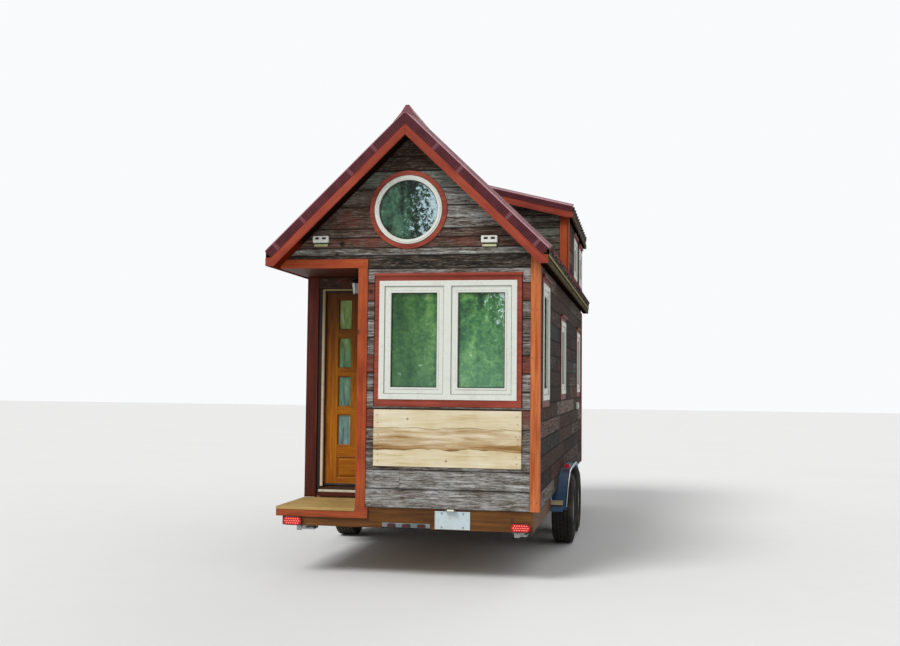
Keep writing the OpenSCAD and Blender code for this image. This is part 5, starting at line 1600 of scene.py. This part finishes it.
def vent(middle, low_z):
    """White hood, yellowed lip and dark parts of one vent that starts at a height."""
    hood_ends = (middle - VENT_W / 2, middle + VENT_W / 2)
    lip_ends = (middle - LIP_W / 2, middle + LIP_W / 2)
    throat_ends = (lip_ends[0] + 0.004, lip_ends[1] - 0.004)
    hood = before_wall("vent", hood_ends, VENT_D, (low_z + 0.033, low_z + 0.093))
    soften(hood, 7 * MM, 3, RIGHT_ANGLES)
    slots = [middle + way * SLOT_APART / 2 for way in (-1, 1)]
    slot_z = (low_z + 0.060, low_z + 0.080)
    carve(hood, [before_wall("slot", (x - SLOT_W / 2, x + SLOT_W / 2), 0.05, slot_z, 0.018) for x in slots])
    lip = before_wall("lip", lip_ends, LIP_D, (low_z, low_z + 0.024))
    shift(lip, lambda place, facing: place.y < REAR_Y - 0.01 and place.z > low_z + 0.01, (0, 0.014, 0))
    soften(lip, 3 * MM, 2, 40)
    dark = [before_wall("throat", throat_ends, THROAT_D, (low_z + 0.020, low_z + 0.036))]
    dark += [before_wall("throat", (x - SLOT_W / 2 - MM, x + SLOT_W / 2 + MM), THROAT_D,
                         (slot_z[0] - MM, slot_z[1] + MM), 0.016) for x in slots]
    return hood, lip, dark


vent_parts = [vent(*place) for place in VENTS_AT]
inlet = soften(block("inlet", *INLET), 6 * MM, 2, RIGHT_ANGLES)
flap = block("flap", INLET[0] + Vector((0.036, 0.010, 0.012)), INLET[1] + Vector((0.006, -0.010, -0.012)))
soften(flap, 3 * MM, 2, RIGHT_ANGLES)
vent_piece = dress(join("vent_hoods", [v[0] for v in vent_parts] + [inlet, flap]), plastic_finish,
                   replaces=("vents",))
lip_piece = dress(join("vent_lips", [v[1] for v in vent_parts]), lip_finish)
throat_piece = dress(join("vent_throats", vent_parts[0][2] + vent_parts[1][2]), gasket_finish)
print("vents:", triangles(vent_piece) + triangles(lip_piece) + triangles(throat_piece), "triangles")

# %% [markdown]
# ## The porch lantern
# A six-sided lantern of black iron with frosted panes hangs on the bay's side wall. Its glass is a
# tapered six-sided cylinder, its roof a cone, and its bars are rods along the corners of the glass.

# %% Lantern
LANTERN_SIDES = 6
LAMP_AT = Vector((BAY_X - 0.095, REAR_Y + 0.191, 0))
GLASS_LOW, GLASS_TOP = 2.462, 2.558
GLASS_R = (0.027, 0.041)
IRON_CONES = ((GLASS_TOP - 0.004, GLASS_TOP + 0.004, 0.052, 0.054), (GLASS_TOP + 0.004, 2.600, 0.054, 0.014),
              (2.598, 2.608, 0.012, 0.012), (2.608, 2.625, 0.009, 0.002),
              (2.452, GLASS_LOW + 0.002, 0.022, 0.033))
BACK_PLATE = ((BAY_X - 0.026, LAMP_AT.y - 0.030, 2.470), (BAY_X - 0.012, LAMP_AT.y + 0.030, 2.600))
ARM = ((BAY_X - 0.014, LAMP_AT.y, 2.594), (BAY_X - 0.090, LAMP_AT.y, 2.594))


def cone(name, low_z, high_z, low_r, high_r):
    """A six-sided cone on the lantern's axis, between two heights."""
    bpy.ops.object.select_all(action="DESELECT")
    bpy.ops.mesh.primitive_cone_add(vertices=LANTERN_SIDES, radius1=low_r, radius2=high_r,
                                    depth=high_z - low_z, location=LAMP_AT + UP * (low_z + high_z) / 2)
    return settle(name)


def corner(i, radius, z):
    """A corner of the lantern's glass."""
    turn = math.radians(60 * i)
    return LAMP_AT + Vector((radius * math.sin(turn), radius * math.cos(turn), z))


glass_body = cone("lantern_glass", GLASS_LOW, GLASS_TOP, *GLASS_R)
iron = [cone("iron", *sizes) for sizes in IRON_CONES]
for i in range(LANTERN_SIDES):
    iron.append(rod("iron", corner(i, GLASS_R[0], GLASS_LOW), corner(i, GLASS_R[1], GLASS_TOP), 2.6 * MM, 6))
iron.append(soften(block("iron", *BACK_PLATE), 5 * MM, 2, RIGHT_ANGLES))
iron.append(rod("iron", *ARM, 6 * MM, 10))
iron_piece = dress(join("lantern_frame", iron), iron_finish, replaces=("wall_lantern",))
dress(glass_body, frosted_finish)
print("lantern:", triangles(iron_piece), "triangles")

# %% [markdown]
# ## Lamps and number plate
# Tail lamps are oval red lenses over rows of diodes, in a black rubber ring. The three small lamps of
# the bar have black rings too. An oval starts as a cylinder whose halves are pulled apart.

# %% Lamps
OVAL_SIDES = 32
LARGE_LAMP = 0.1
DIODE_ROWS, DIODE_STEP = ((-0.018, 6), (0.0, 7), (0.018, 6)), 0.0205


def oval_ring(middle, width, height, thick, y_low, y_high):
    """An upright oval frame between two places along Y. Its middle is an X and a Z."""
    x, z = middle
    ring = rod("ring", (x, y_low, z), (x, y_high, z), height / 2, OVAL_SIDES)
    for way in (-1, 1):
        shift(ring, lambda place, facing: (place.x - x) * way > 0.1 * MM, (way * (width - height) / 2, 0, 0))
    return hollow(ring, 1, thick)


def middle_of(low, high):
    """The X and Z of the middle of a box."""
    return (low.x + high.x) / 2, (low.z + high.z) / 2


bpy.ops.mesh.primitive_uv_sphere_add(segments=10, ring_count=6, radius=5.4 * MM, scale=(1.35, 1, 1))
diode = settle("diode")
clip(diode, (0, 0.5 * MM, 0), (0, 1, 0))
lamp_boxes = [b for b in solids("tail_lamps") if abs(middle_of(*b)[0]) < 1.1 and b[1].z < 0.6]
rings, lit = [], []
for low, high in lamp_boxes:
    middle = middle_of(low, high)
    large = high.x - low.x > LARGE_LAMP
    grow, thick, back = (10 * MM, 9 * MM, 6 * MM) if large else (12 * MM, 7 * MM, 3 * MM)
    rings.append(oval_ring(middle, high.x - low.x + grow, high.z - low.z + grow, thick, low.y + back, high.y))
    for lift, count in DIODE_ROWS if large else ():
        for i in range(count):
            aside = (i - (count - 1) / 2) * DIODE_STEP
            place = (middle[0] + aside, low.y + 1.5 * MM, middle[1] + lift)
            lit.append(copied(diode, Matrix.Translation(place)))
drop(diode)
ring_piece = dress(join("lamp_rings", rings), gasket_finish)
diode_piece = dress(join("diodes", lit), led_finish)
print("rings, diodes, triangles:", len(rings), len(lit), triangles(ring_piece) + triangles(diode_piece))

# %% [markdown]
# The number plate is plain sheet with a raised rim, which is a hollowed block. Its four bolts are a
# washer and a six-sided head each, and two round bolts hold the bracket of the bar. A small glass
# over the plate lights it.

# %% Plate
PLATE_LOW, PLATE_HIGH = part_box("number_plate")
BAR_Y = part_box("lamp_bar")[0].y
BRACKET_X = (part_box("lamp_bar")[0].x + 0.012, 0.212)
rim = block("plate_rim", (PLATE_LOW.x, PLATE_LOW.y - 2.5 * MM, PLATE_LOW.z),
            (PLATE_HIGH.x, PLATE_LOW.y, PLATE_HIGH.z))
soften(hollow(rim, 1, 7 * MM), 1 * MM, 2, RIGHT_ANGLES)
dress(rim, plate_finish)
bolts = []
for x in (PLATE_LOW.x + 0.06, PLATE_HIGH.x - 0.06):
    for z in (PLATE_LOW.z + 0.018, PLATE_HIGH.z - 0.018):
        for out, radius, sides in ((1.5 * MM, 9 * MM, 16), (6 * MM, 5.5 * MM, 6)):
            bolts.append(rod("bolt", (x, PLATE_LOW.y - out, z), (x, PLATE_LOW.y, z), radius, sides))
        soften(bolts[-1], 1 * MM, 1, 50)
for x in BRACKET_X:
    bolt = rod("bolt", (x, BAR_Y + 0.030, 0.450), (x, BAR_Y + 0.046, 0.450), 5 * MM, 12)
    bolts.append(soften(bolt, 1 * MM, 1, 50))
bolt_piece = dress(join("plate_bolts", bolts), zinc_finish)
plate_lamp = block("plate_lamp_glass", (0.372, BAR_Y - 0.001, 0.588), (0.433, BAR_Y + 0.022, 0.606))
dress(soften(plate_lamp, 4 * MM, 3, RIGHT_ANGLES), warm_finish)
print("plate bolts:", triangles(bolt_piece), "triangles")

# %% [markdown]
# ## The door
# The door has two columns of four panes over a raised panel. A flat strip covers the joint between
# the columns, small beads hold the panes, a sloped moulding runs round the panel, and a rubber sweep
# closes the gap to the sill. These parts ride on the door, so they turn with it. A short block closes
# the foot of the board beside the doorway, where the cladding ends above the deck.

# %% Door details
LITE_W, LITES, STILE_W, SWEEP_IN = 0.128, 4, 0.126, 0.016
PANEL_Z, FIELD_IN = (0.766, 0.972), 0.024


def on_leaf(name, x_ends, out, deep, z_ends):
    """A block on the door from so far in front of its face to so far behind it."""
    return block(name, (x_ends[0], LEAF_LOW.y - out, z_ends[0]), (x_ends[1], LEAF_LOW.y + deep, z_ends[1]))


between_stiles = (LEAF_LOW.x + STILE_W, LEAF_HIGH.x - STILE_W)
strip = on_leaf("strip", (LEAF_MIDDLE - 0.013, LEAF_MIDDLE + 0.051), 0.0045, 0.004,
                (LITE_LOW - 0.012, LITES_TOP + 0.012))
door_parts = [soften(strip, 2 * MM, 2, RIGHT_ANGLES)]
for x in (between_stiles[0], between_stiles[1] - LITE_W):
    for i in range(LITES):
        z = LITE_LOW + i * LITE_PITCH
        bead = hollow(on_leaf("bead", (x, x + LITE_W), -0.007, 0.018, (z, z + LITE_H)), 1, 7 * MM)
        door_parts.append(soften(bead, 2.5 * MM, 2, RIGHT_ANGLES))
panel = hollow(on_leaf("panel", between_stiles, -0.001, 0.009, PANEL_Z), 1, 10 * MM)
door_parts.append(soften(panel, 4 * MM, 2, RIGHT_ANGLES))
field = on_leaf("field", (between_stiles[0] + FIELD_IN, between_stiles[1] - FIELD_IN), 0.001, 0.004,
                (PANEL_Z[0] + FIELD_IN, PANEL_Z[1] - FIELD_IN))
pick(field, "FACE", lambda place, normal: normal.y < -0.9)
bpy.ops.mesh.inset(thickness=14 * MM)
bpy.ops.transform.translate(value=(0, -3 * MM, 0))
door_parts.append(done(field))
door_trim = dress(join("door_beads", door_parts), leaf_finish, body="door")
sweep = on_leaf("door_sweep", (LEAF_LOW.x + SWEEP_IN, LEAF_HIGH.x - SWEEP_IN), 0.004, 0.001,
                (LEAF_LOW.z + 0.001, LEAF_LOW.z + 0.020))
dress(soften(sweep, 1.5 * MM, 2, RIGHT_ANGLES), gasket_finish, body="door")
foot = block("board_foot", (-WALL_X - 0.019, ENTRY_Y - 0.0185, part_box("porch_deck")[1].z + 0.0005),
             (-WALL_X + 0.089, ENTRY_Y + 0.079, SIDING_Z + 0.001))
dress(foot, trim_finish["z"])
print("door details:", triangles(door_trim), "triangles")

# %% [markdown]
# ## Flashings and roof screws
# Where the dormer wall meets the eaves strip an apron of bent sheet keeps rain out. It is a thin
# block whose outer edge is pulled down to the slope. The sheets are held by screws with wide
# washers, set by a ray cast from above so that each stands square on the metal.

# %% Roof details
APRON_NEAR, APRON_FAR, SHEET_T = WALL_X + 0.001, WALL_X + 0.082, 0.002
APRON_Y = (DORMER_START + 0.004, FRONT_Y - 0.002)
SCREW_PITCH = 0.228
MAIN_COLUMNS, DORMER_COLUMNS, CAP_COLUMNS = (0.22, 0.62, 1.02, 1.22), (0.25, 0.72, 1.16), (0.105,)
slope = math.tan(MAIN_PITCH)
top = RIB_APEX - APRON_NEAR * slope + 0.004
aprons = []
for side in (-1, 1):
    for far, high in ((APRON_FAR, top), (APRON_NEAR + SHEET_T, DORMER_FOOT + 0.02)):
        ends = sorted((side * APRON_NEAR, side * far))
        aprons.append(block("apron", (ends[0], APRON_Y[0], top - SHEET_T), (ends[1], APRON_Y[1], high)))
        if far == APRON_FAR:
            shift(aprons[-1], lambda place, facing: abs(place.x) > (APRON_NEAR + APRON_FAR) / 2,
                  (0, 0, -(APRON_FAR - APRON_NEAR) * slope))
dress(join("wall_aprons", aprons), cap_finish)

washer = rod("screw", (0, 0, 0), (0, 0, 1.6 * MM), 8 * MM, 12)
screw_head = soften(rod("screw", (0, 0, 1 * MM), (0, 0, 6 * MM), 5 * MM, 6), 1 * MM, 1, 50)
screw_model = join("screw_model", [washer, screw_head])


def on_roof(node, columns, ys):
    """Matrices of screws standing square on a roof solid wherever a ray from above meets it."""
    made = []
    for x in [side * x for side in (-1, 1) for x in columns]:
        for y in ys:
            found, place, normal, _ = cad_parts[node].ray_cast((x, y, 5.0), (0, 0, -1))
            if found and normal.z > 0.3:
                made.append(Matrix.Translation(place) @ normal.to_track_quat("Z", "Y").to_matrix().to_4x4())
    return made


bpy.context.view_layer.update()
roof_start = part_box("roof_metal")[0].y
screws = on_roof("roof_metal", MAIN_COLUMNS, [roof_start + 0.14 + SCREW_PITCH * i for i in range(28)])
screws += on_roof("dormer_metal", DORMER_COLUMNS, [DORMER_START + 0.02 + SCREW_PITCH * i for i in range(13)])
screws += on_roof("ridge_cap", CAP_COLUMNS, [roof_start + 0.2 + 0.31 * i for i in range(20)])
roof_screws = dress(fixings("roof_screws", screw_model, screws), screw_finish)
print(len(screws), "roof screws,", triangles(roof_screws), "triangles")

# %% [markdown]
# ## Deck screws and mudguard edges
# The porch boards are screwed down at both ends and in the middle. The outer edge of a mudguard is
# rolled over a wire and polished: a torus cut in half, its halves moved apart so that the crown
# stays flat. The step behind a mudguard is a black box with a pale ribbed tread and a white tab.

# %% Deck and mudguards
DECK_LOW, DECK_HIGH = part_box("porch_deck")
FENDER_Y, FENDER_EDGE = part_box("fender_right")[0].y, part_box("fender_right")[1].x - 0.003
ARC_END, STEP_X, TAB_X = 0.448, (1.088, 1.220), 1.098
STEP_Z = ARC_END + 0.056
RIBS, RIB_PITCH = 5, 0.014
deck_spots = []
for low, high in solids("porch_deck"):
    for x in (DECK_LOW.x + 0.035, (DECK_LOW.x + DECK_HIGH.x) / 2, DECK_HIGH.x - 0.035):
        for share in (0.25, 0.75):
            place = (x, low.y + share * (high.y - low.y), DECK_HIGH.z - 3.5 * MM)
            deck_spots.append(Matrix.Translation(place))
dress(fixings("deck_screws", screw_model, deck_spots), zinc_finish)
drop(screw_model)
edges = []
for side in (-1, 1):
    bpy.ops.object.select_all(action="DESELECT")
    bpy.ops.mesh.primitive_torus_add(major_segments=192, minor_segments=10, major_radius=ARC_R + 0.003,
                                     minor_radius=5.5 * MM, rotation=(0, quarter, 0),
                                     location=(side * FENDER_EDGE, ARCH_MIDDLE, ARCH_TOP - ARC_R))
    wire = settle("wire")
    clip(wire, (0, 0, ARC_END), (0, 0, -1))
    for way in (-1, 1):
        shift(wire, lambda place, facing: (place.y - ARCH_MIDDLE) * way > 0, (0, way * ARCH_HALF, 0))
    edges.append(wire)
edge_piece = dress(join("fender_edges", edges), bright_finish)


def on_step(name, x_ends, y_ends, z_ends):
    """A block at a step, measured along Y from the end of the mudguard and upwards from the step."""
    low, high = zip(x_ends, [FENDER_Y + y for y in y_ends], [STEP_Z + z for z in z_ends])
    return block(name, low, high)


treads, tabs, boxes = [], [], []
for side in (-1, 1):
    left, right_end = sorted(side * x for x in STEP_X)
    tread = on_step("tread", (left, right_end), (0.001, 0.080), (-0.001, 0.005))
    treads.append(soften(tread, 1.5 * MM, 2, RIGHT_ANGLES))
    riser = on_step("riser", (left + 0.004, right_end - 0.004), (0.004, 0.076),
                    (ARC_END + 0.002 - STEP_Z, 0.0))
    boxes.append(soften(riser, 4 * MM, 2, RIGHT_ANGLES))
    treads.append(on_step("tread", (left, right_end), (-0.001, 0.003), (-0.030, 0.004)))
    for i in range(RIBS):
        y = 0.012 + i * RIB_PITCH
        rib = on_step("tread", (left + 0.01, right_end - 0.01), (y, y + 0.005), (0.004, 0.007))
        treads.append(soften(rib, 1 * MM, 1, RIGHT_ANGLES))
    tab = on_step("tab", (side * TAB_X - 0.007, side * TAB_X + 0.007), (0.050, 0.054), (0.0, 0.055))
    tabs.append(soften(tab, 1 * MM, 1, RIGHT_ANGLES))
dress(join("step_treads", treads), tread_finish)
dress(join("step_tabs", tabs), plastic_finish)
dress(join("step_boxes", boxes), steel_finish)
print("mudguard edges:", triangles(edge_piece), "triangles")

# %% [markdown]
# ## Tyres
# A tyre is a body of revolution with blocks of rubber on its tread. Its outline is drawn point by
# point from one vertex, by extrusion, and spun round the axle. One block is modelled, its top
# drawn in a little, and copied round the tread in five rows. Each wheel gets a copy of the finished tyre.

# %% Tyres
TYRE_R, RIM_R = ((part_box(node)[1].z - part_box(node)[0].z) / 2
                 for node in ("tyre_rear_right", "rim_rear_right"))
TREAD_R = TYRE_R - 0.008
ROUND_STEPS = 84
BLOCKS, LUG_HALF = 56, 0.0175
LUG_ROWS = ((-0.0775, 0.032), (-0.038, 0.029), (0.0, 0.029), (0.038, 0.029), (0.0775, 0.032))


def turned(name, outline, steps):
    """Draws an outline of points (along X, radius) from one vertex and spins it round the X axis."""
    bpy.ops.object.select_all(action="DESELECT")
    bpy.ops.mesh.primitive_plane_add(size=MM, location=(outline[0][0], 0, outline[0][1]))
    thing = settle(name)
    pick(thing, "VERT", lambda place, facing: True)
    bpy.ops.mesh.merge(type="CENTER")
    for before, after in zip(outline, outline[1:]):
        move = (after[0] - before[0], 0, after[1] - before[1])
        bpy.ops.mesh.extrude_vertices_move(TRANSFORM_OT_translate={"value": move})
    bpy.ops.mesh.select_all(action="SELECT")
    bpy.ops.mesh.spin(steps=steps, angle=2 * math.pi, center=(0, 0, 0), axis=(1, 0, 0))
    bpy.ops.mesh.select_all(action="SELECT")
    bpy.ops.mesh.remove_doubles(threshold=SAME_POINT)
    bpy.ops.mesh.normals_make_consistent(inside=False)
    return done(thing)


half = [(0.0885, RIM_R + 0.001), (0.0975, RIM_R + 0.006), (0.1085, 0.228), (0.1105, 0.238), (0.1105, 0.243),
        (0.1122, 0.246), (0.1122, 0.272), (0.1105, 0.290), (0.1085, 0.304), (0.1095, 0.307), (0.1085, 0.311),
        (0.102, 0.329), (0.095, 0.342), (0.086, TREAD_R - 0.002), (0.060, TREAD_R)]
outline = half + [(-x, r) for x, r in reversed(half)] + [half[0]]
tyre_body = turned("tyre_body", outline, ROUND_STEPS)
lugs = []
for index, (middle, wide) in enumerate(LUG_ROWS):
    lug = block("lug", (middle - wide / 2, -LUG_HALF, TREAD_R - 0.004),
                (middle + wide / 2, LUG_HALF, TYRE_R - 0.0006))
    pick(lug, "VERT", lambda place, facing: place.z > TREAD_R)
    bpy.ops.transform.resize(value=(0.94, 0.92, 1), center_override=(middle, 0, TYRE_R))
    done(lug)
    if index in (0, len(LUG_ROWS) - 1):
        shift(lug, lambda place, facing: place.z > TREAD_R and abs(place.x) > abs(middle), (0, 0, -0.006))
    stagger = (index % 2) / 2
    for i in range(BLOCKS):
        turn = Matrix.Rotation(2 * math.pi * (i + stagger) / BLOCKS, 4, "X")
        lugs.append(copied(lug, turn, dust=chance.uniform(0.6, 1.0)))
    drop(lug)
tyre_model = join("tyre_model", [tyre_body] + lugs)


def axle_place(where):
    """The matrix that brings a model at the origin to the middle of a wheel."""
    low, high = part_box("tyre_" + where)
    return Matrix.Translation((low + high) / 2)


for where in WHEELS:
    tyre = copied(tyre_model, axle_place(where))
    tyre.name = "tread_" + where
    tyre.data.set_sharp_from_angle(angle=math.radians(30))
    dress(tyre, rubber_finish, body="wheel_" + where, replaces=("tyre_" + where,))
print("one tyre has", triangles(tyre_model), "triangles")
drop(tyre_model)

# %% [markdown]
# ## Hubs
# Each wheel is held by six chromed nuts round a pressed grease cap, and has a rubber valve. The cap
# is turned like the tyre; a nut is a bevelled six-sided rod. The left wheels are mirror images, and
# mirroring turns a surface inside out, so their normals are made consistent again.

# %% Hubs
NUTS, NUT_CIRCLE = 6, 0.076
CAP_OUTLINE = [(0.058, 0.036), (0.070, 0.036), (0.074, 0.033), (0.084, 0.030), (0.089, 0.024), (0.092, 0.014),
               (0.093, 0.0)]
hub_parts = [turned("hub_cap", CAP_OUTLINE, 40)]
for i in range(NUTS):
    turn = math.radians(60 * i)
    y, z = -NUT_CIRCLE * math.sin(turn), NUT_CIRCLE * math.cos(turn)
    hub_parts.append(soften(rod("nut", (0.034, y, z), (0.056, y, z), 12.5 * MM, 6), 2 * MM, 2, 50))
    hub_parts.append(soften(rod("nut", (0.055, y, z), (0.060, y, z), 6 * MM, 12), 1.5 * MM, 2, 50))
hub_model = join("hub_model", hub_parts)
valve_model = join("valve_model", [rod("valve", (0.040, 0, 0.186), (0.074, 0, 0.178), 4 * MM, 10),
                                   rod("valve", (0.070, 0, 0.179), (0.084, 0, 0.1757), 5 * MM, 10)])
for where in WHEELS:
    flip = Matrix.Diagonal((-1, 1, 1, 1)) if "left" in where else Matrix.Identity(4)
    for model, name, finish in ((hub_model, "hub_", bright_finish), (valve_model, "valve_", gasket_finish)):
        piece = copied(model, axle_place(where) @ flip)
        piece.name = name + where
        pick(piece, "FACE", lambda place, normal: True)
        bpy.ops.mesh.normals_make_consistent(inside=False)
        dress(done(piece), finish, body="wheel_" + where)
print("one hub has", triangles(hub_model), "triangles")
drop(hub_model, valve_model)

# %% [markdown]
# ## The floor of the studio
# One wide plane is enough. It is attached to no body, so it isn't part of the house.

# %% Stage
floor_paint = coated("studio_floor", "#e4e4e2", "#e8e8e6", 0.9, grime="#dededb", grime_share=0.3, scale=0.4,
                     depth=0.0, specular=0.1)
bpy.ops.object.select_all(action="DESELECT")
bpy.ops.mesh.primitive_plane_add(size=2 * FLOOR_HALF, location=(0, 0, cad_box[0].z - 0.0005))
stage = settle("studio_floor")
stage.data.materials.append(floor_paint)
